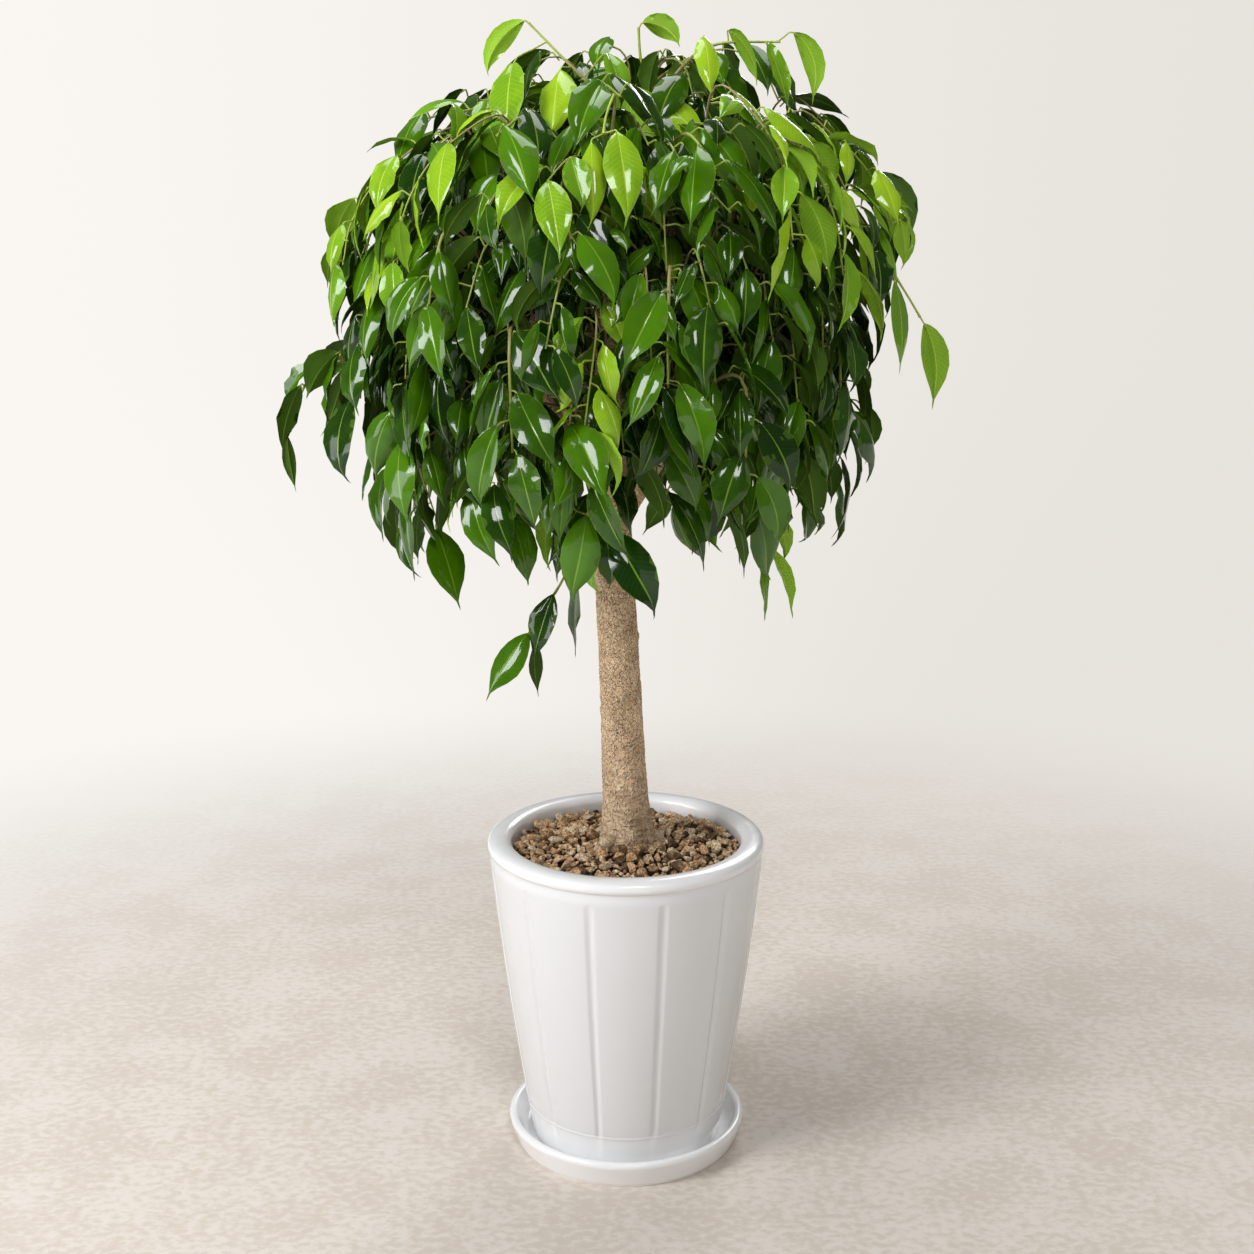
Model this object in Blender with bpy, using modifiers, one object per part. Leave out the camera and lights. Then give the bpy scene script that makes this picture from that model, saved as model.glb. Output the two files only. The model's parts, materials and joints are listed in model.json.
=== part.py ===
"""A potted weeping fig: a standard fig tree in a grooved white pot that stands on its saucer.

Metres, +Z up. The origin is the middle of the saucer's flat underside, and -Y faces the viewer.
The tree is one trunk with its limbs, and each leafy shoot that grows from a limb is a solid of its own.
"""

import math
import random
from collections import namedtuple
from dataclasses import dataclass, field

import bmesh
import bpy
from mathutils import Matrix, Vector, noise
from mathutils.bvhtree import BVHTree

# What touches keeps this gap, and points closer than the weld distance are one point.
SEAT_GAP = 0.0003
WELD = 0.00001
TURN_WELD = 0.00005
RANDOM_SEED = 11
GLAZE_SMOOTH_ANGLE = 35

# The saucer.
SAUCER_RADIUS = 0.132
SAUCER_FOOT_RADIUS = 0.1225
SAUCER_HEIGHT = 0.031
SAUCER_FLOOR = 0.009
SAUCER_FLAT_RADIUS = 0.113
SAUCER_COVE = (0.0065, 0.004)
SAUCER_EDGE = 0.0045
SAUCER_NECK_DROP = 0.010
SAUCER_FOOT_BEVEL = 0.002
SAUCER_STEPS = 32

# The pot.
POT_FOOT_Z = SAUCER_FLOOR + SEAT_GAP
POT_FOOT_RADIUS = 0.1045
POT_FOOT_BEVEL = (0.002, 0.004)
POT_FOOT_RING = 0.012
POT_FOOT_HOLLOW = (0.002, 0.003)
POT_BAND_Z = 0.048
POT_BAND_STEP = 0.0012
POT_BAND_RADIUS = 0.1118
POT_SHOULDER_Z = 0.331
POT_SHOULDER_RADIUS = 0.1488
POT_BULGE = 0.0020
POT_CREASE_Z = 0.339
POT_RIM_Z = 0.356
POT_RIM_RADIUS = 0.1510
POT_RIM_EDGE = 0.0090
POT_MOUTH_RADIUS = 0.1250
POT_MOUTH_ROUND = (0.004, 0.0045)
POT_NECK_RADIUS = 0.1240
POT_NECK_Z = 0.344
POT_WALL = 0.0080
POT_FLOOR_Z = 0.021
POT_FLOOR_COVE = 0.008
POT_THROAT_Z = 0.271
POT_STEPS = 48
DRAIN_RADIUS = 0.010
DRAIN_SIDES = 10
GROOVES = 12
GROOVE_FIRST_ANGLE = math.radians(15)
GROOVE_RADIUS = 0.0042
GROOVE_DEPTH = 0.0020
GROOVE_LOW_Z = 0.045
GROOVE_TOP_Z = 0.325
GROOVE_SIDES = 6

# The soil.
SOIL_EDGE_Z = 0.3375
SOIL_MOUND = 0.0095
SOIL_GAP = 0.0006
SOIL_STEPS = 36
SOIL_RINGS = 5
SOIL_LUMP = 0.0042
LUMP_SIZE = 0.017
LUMP_STEEPNESS = 1.5
LUMP_SINK = 0.35
STEM_HOLE_RADIUS = 0.0325
STEM_HOLE_FLOOR = 0.262

# The trunk runs on as the leader. Each point is x, y, z and the radius there.
TRUNK_FOOT = STEM_HOLE_FLOOR + SEAT_GAP
TRUNK = (
    (0.000, 0.000, TRUNK_FOOT, 0.0270),
    (0.000, 0.000, 0.330, 0.0298),
    (0.000, 0.000, 0.352, 0.0292),
    (0.000, 0.000, 0.372, 0.0266),
    (-0.001, 0.000, 0.400, 0.0248),
    (-0.003, 0.000, 0.450, 0.0230),
    (-0.006, 0.000, 0.520, 0.0216),
    (-0.010, 0.000, 0.600, 0.0207),
    (-0.014, 0.001, 0.680, 0.0203),
    (-0.017, 0.002, 0.740, 0.0190),
    (-0.019, 0.003, 0.800, 0.0150),
    (-0.020, 0.004, 0.870, 0.0115),
    (-0.018, 0.000, 0.950, 0.0085),
    (-0.015, -0.004, 1.030, 0.0062),
    (-0.016, 0.000, 1.090, 0.0046),
)
TRUNK_SIDES = 12
BARK_SMOOTH_ANGLE = 50
ROOT_LOBES = 5
ROOT_LOBE_SHARE = 0.07
ROOT_LOBE_TURN = 0.6
ROOT_FLARE_Z = (0.300, 0.352, 0.400)
LEADER_FROM_Z = 0.94
LIMBS = 6
LIMB_SIDES = 6
LIMB_FIRST_AZIMUTH = math.radians(25)
LIMB_FIRST_Z = 0.700
LIMB_STEP_Z = 0.013
# How far out and how far up each point of a limb is from its root on the trunk, and its radius.
LIMB = (
    (0.000, 0.000, 0.0105),
    (0.032, 0.028, 0.0100),
    (0.066, 0.080, 0.0086),
    (0.096, 0.142, 0.0073),
    (0.118, 0.208, 0.0061),
    (0.130, 0.262, 0.0052),
)
LIMB_ORDER = (0, 5, 4, 3, 2, 1)
LIMB_SWAY = math.radians(7)
LIMB_SWAY_STEP = 1.3

# The crown is a shell that the shoots trail along. A polar angle is measured from straight up.
SHELL_CENTRE = Vector((-0.018, 0.0, 0.885))
SHELL_RADIUS = 0.258
SHELL_RISE = 0.275
SHELL_DROP = 0.235
SHELL_SQUARENESS = 0.75
SHOOTS = 39
SHOOT_TOP_POLAR = math.radians(17)
SHOOT_LOW_POLAR = math.radians(134)
LEADER_POLAR = math.radians(42)
GOLDEN_ANGLE = math.pi * (3 - math.sqrt(5))
CREST_POLAR = math.radians(36)
CREST_LEAST_POLAR = 0.04
CREST_LIFT = 1.08
TIP_SHARE = 0.95
LIMB_BARE_SHARE = 0.35
LEADER_BARE_SHARE = 0.05
LAST_KNOT_SHARE = 0.97
YOUNG_EVERY = 8
FIRST_YOUNG = 3
KNOT_STRAIGHT = 0.008
TWIG_POINTS = 7
TWIG_RADIUS = 0.0024
TWIG_TIP_RADIUS = 0.0016
TWIG_TRIES = 60
TWIG_NUDGE = 0.004
TWIG_STIFFNESS = 0.35
TWIG_RISE = 0.01
TWIG_SIDES = 4
SEGMENT_END = 0.05
UP = Vector((0, 0, 1))

# Leaves.
LEAF_SPACING = 0.026
LEAVES_PER_SHOOT = 6
LAST_LEAF_SHARE = 0.985
TWIG_BARE_SHARE = 0.2
LEAF_LENGTH = 0.080
LEAF_WIDTH_SHARE = 0.47
LEAF_RIDGE = 0.0022
LEAF_TRIES = 26
LEAF_CLEARANCE = 0.0006
LEAF_LENGTH_SHARES = (0.85, 1.12)
LEAF_WIDTH_SHARES = (0.9, 1.1)
LEAF_BENDS = (0.3, 1.0)
LEAF_TWIST = 0.4
LEAF_HOOK = 0.2
LEAF_STRAY = 0.25
LEAF_STRAY_STEP = 0.045
LEAF_SHRINK_STEP = 0.008
# The shares of sideways, along the twig, outwards, up and astray in how a leaf hangs, how its petiole leaves
# the twig, and where its upper side looks.
HANG_SHARES = (0.45, 0.35, 0.08, -0.85, 0.6)
STALK_SHARES = (0.7, 0.3, 0.7, 0.0, 0.4)
FACE_SHARES = (0.5, 0.0, 1.0, 0.35, 0.4)
DRAWN_FACE = Vector((0, -0.5, 0.35))
PETIOLE_LENGTHS = (0.011, 0.0145)
PETIOLE_RADIUS = 0.0012
PETIOLE_RIDGE = 0.0016
PETIOLE_HIDDEN = 0.3
PETIOLE_FREE = 0.6
BLADE_BODY = 0.88
BLADE_BASE_POWER = 0.55
BLADE_TIP_POWER = 0.95
DRIP_TIP_SHARE = 0.10
BLADE_STATIONS = (0.28, 0.57, 0.83)

# The shoots that stand out from the crown, drawn one by one.
# Each has its name, whether it is young, the limb that carries it and how far along, the share of its twig,
# from the root, that other leaves may grow from, the twig's points, and its leaves. LIMBS is the leader.
# A leaf has its base, its tip, its width, its turn about its length in degrees, and its bend in radians.
OWN_SHOOTS = (
    ("shoot_long_left", False, 3, 0.62, 0.70,
     ((-0.200, -0.080, 0.930), (-0.242, -0.050, 0.898), (-0.274, -0.038, 0.872), (-0.305, -0.042, 0.866),
      (-0.324, -0.048, 0.842), (-0.338, -0.050, 0.800)),
     (((-0.287, -0.046, 0.879), (-0.317, -0.062, 0.833), 0.036, 20, 0.7),
      ((-0.312, -0.040, 0.868), (-0.348, -0.030, 0.826), 0.026, -30, 0.6),
      ((-0.324, -0.054, 0.848), (-0.345, -0.062, 0.776), 0.030, 15, 0.5),
      ((-0.341, -0.050, 0.796), (-0.334, -0.048, 0.738), 0.016, 40, 0.3),
      ((-0.278, -0.032, 0.866), (-0.308, -0.018, 0.790), 0.022, 60, 0.3))),
    ("shoot_long_right", True, 5, 0.86, 0.45,
     ((0.120, -0.098, 1.092), (0.158, -0.088, 1.078), (0.204, -0.070, 1.040), (0.234, -0.060, 1.000),
      (0.259, -0.058, 0.962), (0.280, -0.060, 0.930), (0.290, -0.060, 0.914)),
     (((0.189, -0.078, 1.083), (0.250, -0.050, 1.056), 0.024, 0, 0.9),
      ((0.216, -0.074, 1.036), (0.280, -0.075, 1.017), 0.024, -20, 0.5),
      ((0.246, -0.068, 1.000), (0.266, -0.064, 0.944), 0.022, 30, 0.5),
      ((0.222, -0.074, 1.016), (0.234, -0.082, 0.924), 0.027, 10, 0.4),
      ((0.262, -0.068, 0.950), (0.269, -0.078, 0.859), 0.040, 0, 0.3),
      ((0.294, -0.060, 0.908), (0.302, -0.060, 0.824), 0.028, -50, 1.0))),
    ("shoot_top_left", True, LIMBS, 0.82, 0.45,
     ((-0.024, -0.060, 1.122), (-0.044, -0.064, 1.142), (-0.078, -0.052, 1.176), (-0.093, -0.050, 1.191)),
     (((-0.097, -0.050, 1.193), (-0.134, -0.058, 1.138), 0.026, 60, 1.3),
      ((-0.106, -0.078, 1.152), (-0.109, -0.120, 1.066), 0.043, 0, 0.7),
      ((-0.062, -0.080, 1.146), (-0.068, -0.118, 1.076), 0.043, 0, 0.6),
      ((-0.018, -0.074, 1.160), (-0.002, -0.100, 1.106), 0.032, 0, 0.8))),
    ("shoot_top_middle", True, LIMBS, 0.92, 0.55,
     ((0.022, -0.030, 1.124), (0.014, -0.036, 1.160), (0.012, -0.040, 1.188)),
     (((0.016, -0.040, 1.192), (0.052, -0.044, 1.168), 0.026, -40, 1.4),)),
    ("shoot_top_right", True, LIMBS, 0.72, 0.50,
     ((0.026, -0.056, 1.112), (0.057, -0.050, 1.154), (0.088, -0.048, 1.172), (0.148, -0.048, 1.174)),
     (((0.074, -0.058, 1.178), (0.079, -0.092, 1.116), 0.028, 10, 0.8),
      ((0.098, -0.050, 1.184), (0.126, -0.070, 1.130), 0.040, -10, 0.9),
      ((0.134, -0.054, 1.172), (0.155, -0.064, 1.110), 0.022, 30, 0.6),
      ((0.160, -0.050, 1.182), (0.174, -0.050, 1.116), 0.024, -50, 1.7))),
    ("shoot_front_top", True, 4, 0.98, 0.60,
     ((-0.010, -0.150, 1.112), (-0.018, -0.172, 1.098), (-0.020, -0.184, 1.082)),
     (((-0.031, -0.186, 1.076), (-0.028, -0.212, 0.996), 0.028, 0, 0.5),
      ((-0.008, -0.190, 1.084), (0.004, -0.222, 0.999), 0.038, 0, 0.5))),
    ("shoot_low_left", False, 4, 0.40, 0.45,
     ((-0.024, -0.110, 0.770), (-0.034, -0.104, 0.726), (-0.050, -0.096, 0.686), (-0.066, -0.092, 0.652),
      (-0.084, -0.092, 0.624), (-0.092, -0.092, 0.606)),
     (((-0.072, -0.100, 0.644), (-0.094, -0.106, 0.573), 0.038, 0, 0.3),
      ((-0.098, -0.100, 0.604), (-0.143, -0.112, 0.537), 0.036, 0, 0.3),
      ((-0.046, -0.088, 0.672), (-0.051, -0.080, 0.574), 0.026, 20, 0.3),
      ((-0.092, -0.084, 0.590), (-0.090, -0.078, 0.532), 0.018, 60, 0.2),
      ((-0.044, -0.112, 0.738), (-0.073, -0.124, 0.660), 0.040, 0, 0.4))),
    ("shoot_low_right", True, 5, 0.36, 0.75,
     ((0.108, -0.072, 0.770), (0.122, -0.066, 0.728), (0.130, -0.062, 0.694)),
     (((0.133, -0.064, 0.676), (0.141, -0.066, 0.606), 0.020, 10, 0.4),
      ((0.141, -0.060, 0.684), (0.168, -0.054, 0.610), 0.024, -20, 0.7))),
)

Leaf = namedtuple("Leaf", "root neck aim face length width bend twist hook")
Placed = namedtuple("Placed", "centre reach tree")


@dataclass
class Shoot:
    """A twig with its leaves. leafy is the share of the twig, from its root, that random leaves grow from."""

    name: str
    young: bool
    path: list
    leafy: float = 1.0
    leaves: list = field(default_factory=list)
    twig: object = None
    shape: Placed = None


def clear_scene():
    for obj in list(bpy.data.objects):
        bpy.data.objects.remove(obj)


def collection(name):
    made = bpy.data.collections.new(name)
    bpy.context.scene.collection.children.link(made)
    return made


def material(name, colour, roughness):
    made = bpy.data.materials.new(name)
    made.use_nodes = True
    shader = made.node_tree.nodes["Principled BSDF"]
    shader.inputs["Base Color"].default_value = (*colour, 1.0)
    shader.inputs["Roughness"].default_value = roughness
    shader.inputs["Metallic"].default_value = 0.0
    return made


def mesh_object(name, points, faces, home, finish=None):
    mesh = bpy.data.meshes.new(name)
    mesh.from_pydata(points, [], faces)
    obj = bpy.data.objects.new(name, mesh)
    home.objects.link(obj)
    if finish:
        mesh.materials.append(finish)
    return obj


def as_mesh(obj, home, weld=WELD):
    """The evaluated object as a plain mesh object of the same name and place. The old one is removed."""
    bpy.context.view_layer.update()
    graph = bpy.context.evaluated_depsgraph_get()
    mesh = bpy.data.meshes.new_from_object(obj.evaluated_get(graph))
    name = obj.name
    matrix = obj.matrix_world.copy()
    finishes = [slot.material for slot in obj.material_slots]
    bpy.data.objects.remove(obj)
    made = bpy.data.objects.new(name, mesh)
    made.matrix_world = matrix
    home.objects.link(made)
    if not mesh.materials:
        for finish in finishes:
            mesh.materials.append(finish)
    cage = bmesh.new()
    cage.from_mesh(mesh)
    if weld:
        bmesh.ops.remove_doubles(cage, verts=cage.verts, dist=weld)
        bmesh.ops.recalc_face_normals(cage, faces=cage.faces)
    cage.to_mesh(mesh)
    cage.free()
    return made


def smooth(obj, angle=GLAZE_SMOOTH_ANGLE):
    obj.data.shade_smooth()
    obj.data.set_sharp_from_angle(angle=math.radians(angle))


def turned(name, profile, steps, home, finish):
    """A closed profile of (radius, z) points in the XZ plane, turned about Z."""
    points = [(radius, 0.0, z) for radius, z in profile]
    obj = mesh_object(name, points, [], home, finish)
    cage = bmesh.new()
    cage.from_mesh(obj.data)
    cage.verts.ensure_lookup_table()
    for first, second in zip(cage.verts, list(cage.verts)[1:]):
        cage.edges.new((first, second))
    if profile[0][0] > 0 or profile[-1][0] > 0:
        cage.edges.new((cage.verts[-1], cage.verts[0]))
    cage.to_mesh(obj.data)
    cage.free()
    screw = obj.modifiers.new("turn", "SCREW")
    screw.axis = "Z"
    screw.steps = steps
    screw.render_steps = steps
    screw.use_merge_vertices = True
    screw.merge_threshold = TURN_WELD
    screw.use_normal_calculate = True
    return as_mesh(obj, home)


def arc(centre_radius, centre_z, radius, first, last, count):
    """Points of an arc in the (radius, z) plane, from one angle to another, in degrees."""
    angles = [math.radians(first + (last - first) * i / (count - 1)) for i in range(count)]
    return [(centre_radius + radius * math.cos(a), centre_z + radius * math.sin(a)) for a in angles]


def saucer(home, finish):
    """A shallow dish with a thick rolled edge. Its underside is flat."""
    edge_centre = SAUCER_RADIUS - SAUCER_EDGE
    cove_out, cove_up = SAUCER_COVE
    profile = [(0.0, SAUCER_FLOOR), (SAUCER_FLAT_RADIUS, SAUCER_FLOOR)]
    profile += [(SAUCER_FLAT_RADIUS + cove_out, SAUCER_FLOOR + cove_up)]
    profile += arc(edge_centre, SAUCER_HEIGHT - SAUCER_EDGE, SAUCER_EDGE, 165, -20, 5)
    profile += [(edge_centre, SAUCER_HEIGHT - SAUCER_NECK_DROP)]
    profile += [(SAUCER_FOOT_RADIUS + SAUCER_FOOT_BEVEL, SAUCER_FOOT_BEVEL)]
    profile += [(SAUCER_FOOT_RADIUS, 0.0), (0.0, 0.0)]
    obj = turned("saucer", profile, SAUCER_STEPS, home, finish)
    smooth(obj)
    return obj


def wall_radius(z):
    """Radius of the pot's outer wall at height z, from the foot band to the shoulder. It bulges a little."""
    share = (z - POT_BAND_Z) / (POT_SHOULDER_Z - POT_BAND_Z)
    straight = POT_BAND_RADIUS + (POT_SHOULDER_RADIUS - POT_BAND_RADIUS) * share
    return straight + POT_BULGE * math.sin(math.pi * share)


def wall_points(low, high, count):
    """Evenly spaced (radius, z) points of the outer wall, from the high end down."""
    heights = [high + (low - high) * i / (count - 1) for i in range(count)]
    return [(wall_radius(z), z) for z in heights]


def inner_wall(gap=0.0):
    """The (radius, z) points of the pot's inside from its floor up to the neck, or of what fills it."""
    floor = POT_FLOOR_Z + gap
    low = POT_BAND_RADIUS - POT_WALL - gap
    high = POT_SHOULDER_RADIUS - 2 * POT_WALL - gap
    cove = POT_FLOOR_COVE
    return [(low - 1.5 * cove, floor), (low - 0.5 * cove, floor + cove), (high, POT_THROAT_Z)]


def pot(home, cutters, finish):
    """A tapered pot with a rolled rim, upright grooves, a foot band and a drain hole."""
    edge_centre = POT_RIM_RADIUS - POT_RIM_EDGE
    round_out, round_down = POT_MOUTH_ROUND
    bevel_out, bevel_up = POT_FOOT_BEVEL
    hollow_in, hollow_up = POT_FOOT_HOLLOW
    ring = POT_FOOT_RADIUS - POT_FOOT_RING
    profile = [(0.0, POT_FLOOR_Z), *inner_wall(), (POT_NECK_RADIUS, POT_NECK_Z)]
    profile += [(POT_MOUTH_RADIUS, POT_RIM_Z - round_down), (POT_MOUTH_RADIUS + round_out, POT_RIM_Z)]
    profile += arc(edge_centre, POT_RIM_Z - POT_RIM_EDGE, POT_RIM_EDGE, 80, -35, 5)
    profile += [(wall_radius(POT_SHOULDER_Z) - POT_BAND_STEP, POT_CREASE_Z)]
    profile += wall_points(POT_BAND_Z, POT_SHOULDER_Z, 3)
    profile += [(POT_BAND_RADIUS - POT_BAND_STEP, POT_BAND_Z - POT_BAND_STEP)]
    profile += [(POT_FOOT_RADIUS + bevel_out, POT_FOOT_Z + bevel_up), (POT_FOOT_RADIUS, POT_FOOT_Z)]
    profile += [(ring, POT_FOOT_Z), (ring - hollow_in, POT_FOOT_Z + hollow_up), (0.0, POT_FOOT_Z + hollow_up)]
    obj = turned("pot", profile, POT_STEPS, home, finish)
    for index in range(GROOVES):
        groove_cutter(index, cutters)
    drain_cutter(cutters)
    cut = obj.modifiers.new("grooves and drain", "BOOLEAN")
    cut.operation = "DIFFERENCE"
    cut.operand_type = "COLLECTION"
    cut.collection = cutters
    cut.solver = "EXACT"
    obj = as_mesh(obj, home, 0)
    smooth(obj)
    return obj


def groove_cutter(index, cutters):
    """A thin rod that follows the slope of the wall and is sunk into it by the groove's depth."""
    angle = GROOVE_FIRST_ANGLE + index * 2 * math.pi / GROOVES
    out = GROOVE_RADIUS - GROOVE_DEPTH
    path = []
    for radius, z in wall_points(GROOVE_LOW_Z, GROOVE_TOP_Z, 3):
        path.append(((radius + out) * math.cos(angle), (radius + out) * math.sin(angle), z))
    rod = tube(f"groove_cutter_{index + 1:02d}", path, [GROOVE_RADIUS] * len(path), GROOVE_SIDES, cutters)
    show_as_cutter(rod)


def drain_cutter(cutters):
    bpy.ops.mesh.primitive_cylinder_add(
        vertices=DRAIN_SIDES, radius=DRAIN_RADIUS, depth=2 * POT_FLOOR_Z, location=(0, 0, POT_FLOOR_Z)
    )
    obj = bpy.context.object
    obj.name = "drain_cutter"
    for other in list(obj.users_collection):
        other.objects.unlink(obj)
    cutters.objects.link(obj)
    show_as_cutter(obj)


def show_as_cutter(obj):
    obj.hide_render = True
    obj.display_type = "WIRE"


def soil_height(point):
    """Height of the soil at a point: a low mound round the trunk, covered with rounded lumps."""
    radius = math.hypot(point.x, point.y)
    share = min(1.0, radius / POT_MOUTH_RADIUS)
    mound = SOIL_EDGE_Z + SOIL_MOUND * (1 - share * share)
    nearest = noise.voronoi(Vector((point.x, point.y, 0.0)) / LUMP_SIZE)[0][0]
    lump = max(0.0, 1.0 - LUMP_STEEPNESS * nearest)
    return mound + SOIL_LUMP * (lump - LUMP_SINK)


def soil(home, finish):
    """Potting soil that fills the pot, with a plain hole that the trunk stands in."""
    span = POT_NECK_RADIUS - SOIL_GAP - STEM_HOLE_RADIUS
    profile = [(0.0, STEM_HOLE_FLOOR), (STEM_HOLE_RADIUS, STEM_HOLE_FLOOR)]
    profile += [(STEM_HOLE_RADIUS + span * i / SOIL_RINGS, SOIL_EDGE_Z) for i in range(SOIL_RINGS + 1)]
    outside = inner_wall(SOIL_GAP)
    profile += [*reversed(outside), (0.0, outside[0][1])]
    obj = turned("soil", profile, SOIL_STEPS, home, finish)
    for vertex in obj.data.vertices:
        if vertex.co.z > SOIL_EDGE_Z - WELD:
            vertex.co.z = soil_height(vertex.co)
    smooth(obj)
    return obj


def tube(name, path, radii, sides, home, finish=None):
    """A round tube along a path of points, with a radius at each, closed at both ends."""
    curve = bpy.data.curves.new(name, "CURVE")
    curve.dimensions = "3D"
    curve.bevel_depth = 1.0
    curve.bevel_resolution = sides // 2 - 2
    curve.use_fill_caps = True
    spline = curve.splines.new("POLY")
    spline.points.add(len(path) - 1)
    for point, place, radius in zip(spline.points, path, radii):
        point.co = (*place, 1.0)
        point.radius = radius
    obj = bpy.data.objects.new(name, curve)
    home.objects.link(obj)
    if finish:
        curve.materials.append(finish)
    return as_mesh(obj, home)


def limb_path(index):
    """The points and radii of one limb, which leaves the trunk at its own height and sways as it rises."""
    root_z = LIMB_FIRST_Z + LIMB_STEP_Z * LIMB_ORDER[index]
    root = point_on(TRUNK, root_z)
    azimuth = LIMB_FIRST_AZIMUTH + index * 2 * math.pi / LIMBS
    path = []
    for step, (out, up, _) in enumerate(LIMB):
        sway = azimuth + LIMB_SWAY * math.sin(LIMB_SWAY_STEP * step + index)
        path.append(root + Vector((out * math.cos(sway), out * math.sin(sway), up)))
    return path, [radius for _, _, radius in LIMB]


def point_on(path, z):
    """The point of a rising path at height z."""
    for first, second in zip(path, path[1:]):
        if first[2] <= z <= second[2]:
            share = (z - first[2]) / (second[2] - first[2])
            return Vector(first[:3]).lerp(Vector(second[:3]), share)
    return Vector(path[-1][:3])


def flare_share(z):
    """How strongly the root lobes show at height z, from 0 to 1."""
    low, peak, high = ROOT_FLARE_Z
    if z <= low or z >= high:
        return 0.0
    return (z - low) / (peak - low) if z < peak else (high - z) / (high - peak)


def trunk(home, finish):
    """The trunk with its root flare, its leader and its limbs, grown as one piece."""
    obj = tube("trunk", [p[:3] for p in TRUNK], [p[3] for p in TRUNK], TRUNK_SIDES, home, finish)
    for vertex in obj.data.vertices:
        angle = math.atan2(vertex.co.y, vertex.co.x)
        lobe = 1 + ROOT_LOBE_SHARE * flare_share(vertex.co.z) * math.cos(ROOT_LOBES * angle + ROOT_LOBE_TURN)
        vertex.co.x *= lobe
        vertex.co.y *= lobe
    limbs = collection("limbs")
    for index in range(LIMBS):
        path, radii = limb_path(index)
        tube(f"limb_{index + 1}", path, radii, LIMB_SIDES, limbs)
    obj = joined(obj, limbs, home)
    smooth(obj, BARK_SMOOTH_ANGLE)
    return obj


def joined(obj, extras, home):
    """obj in one Boolean union with every object of a collection, which is then removed."""
    union = obj.modifiers.new("grown together", "BOOLEAN")
    union.operation = "UNION"
    union.operand_type = "COLLECTION"
    union.collection = extras
    union.solver = "EXACT"
    made = as_mesh(obj, home, 0)
    for extra in list(extras.objects):
        bpy.data.objects.remove(extra)
    bpy.data.collections.remove(extras)
    return made


def shell_point(azimuth, polar, share=1.0):
    """A point of the crown's shell. polar is the angle from straight up."""
    out = SHELL_RADIUS * abs(math.sin(polar)) ** SHELL_SQUARENESS
    rise = SHELL_RISE if polar < math.pi / 2 else -SHELL_DROP
    up = rise * abs(math.cos(polar)) ** SHELL_SQUARENESS
    return SHELL_CENTRE + share * Vector((out * math.cos(azimuth), out * math.sin(azimuth), up))


def carriers():
    """The paths and radii that shoots grow from: the limbs, and last the leader above them."""
    made = [limb_path(index) for index in range(LIMBS)]
    leader = [p for p in TRUNK if p[2] >= LEADER_FROM_Z]
    made.append(([Vector(p[:3]) for p in leader], [p[3] for p in leader]))
    return made


def shoot_plan():
    """Where each shoot ends and what carries it: (azimuth, polar, carrier, share along the carrier)."""
    plan = []
    for index in range(SHOOTS):
        share = (index + 0.5) / SHOOTS
        top, low = math.cos(SHOOT_TOP_POLAR), math.cos(SHOOT_LOW_POLAR)
        polar = math.acos(top + (low - top) * share)
        azimuth = (index * GOLDEN_ANGLE) % (2 * math.pi)
        turn = (azimuth - LIMB_FIRST_AZIMUTH) / (2 * math.pi / LIMBS)
        carrier = LIMBS if polar < LEADER_POLAR else round(turn) % LIMBS
        plan.append([azimuth, polar, carrier, 0.0])
    for carrier in range(LIMBS + 1):
        own = sorted((s for s in plan if s[2] == carrier), key=lambda s: -s[1])
        first = LIMB_BARE_SHARE if carrier < LIMBS else LEADER_BARE_SHARE
        for rank, shoot in enumerate(own):
            shoot[3] = first + (LAST_KNOT_SHARE - first) * rank / max(1, len(own) - 1)
    return plan


def along(path, radii, share):
    """The point, direction and radius at a share of a polyline's length."""
    lengths = [(b - a).length for a, b in zip(path, path[1:])]
    left = share * sum(lengths)
    for index, length in enumerate(lengths):
        if left <= length or index == len(lengths) - 1:
            step = min(1.0, left / length)
            place = path[index].lerp(path[index + 1], step)
            radius = radii[index] + (radii[index + 1] - radii[index]) * step
            return place, (path[index + 1] - path[index]).normalized(), radius
        left -= length
    return None


def bezier(a, b, c, d, count):
    """Evenly spaced points of a cubic Bezier curve."""
    made = []
    for index in range(count):
        t = index / (count - 1)
        s = 1 - t
        made.append(a * s**3 + b * (3 * s * s * t) + c * (3 * s * t * t) + d * t**3)
    return made


def knot_on(carrier, share, towards, bark):
    """The two first points of a twig: square off its carrier's bark, on the side of a point, a gap away."""
    path, radii = carriers()[carrier]
    knot, direction, radius = along(path, radii, share)
    aim = towards - knot
    aim -= direction * aim.dot(direction)
    aim.normalize()
    place, normal, _, _ = bark.tree.ray_cast(knot + aim * (2 * radius), -aim)
    start = place + normal * SEAT_GAP
    return start, start + normal * KNOT_STRAIGHT


def twig_path(azimuth, polar, carrier, share, bark, rng, spread):
    """The points of a shoot's twig: square out of its limb, over a crest, then trailing along the shell."""
    tip = shell_point(azimuth, polar, rng.uniform(TIP_SHARE, 1.0))
    crest = shell_point(azimuth, max(CREST_LEAST_POLAR, polar - CREST_POLAR), CREST_LIFT)
    crest += random_vector(rng) * spread
    start, straight = knot_on(carrier, share, crest, bark)
    aim = (straight - start).normalized()
    bend = straight + aim * (TWIG_STIFFNESS * (crest - straight).length) + UP * TWIG_RISE
    return [start] + bezier(straight, bend, crest, tip, TWIG_POINTS - 1)


def draw(*keys):
    """A stream of random numbers that belongs to one twig or leaf, and to one try at it."""
    return random.Random("-".join(str(key) for key in (RANDOM_SEED, *keys)))


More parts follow.
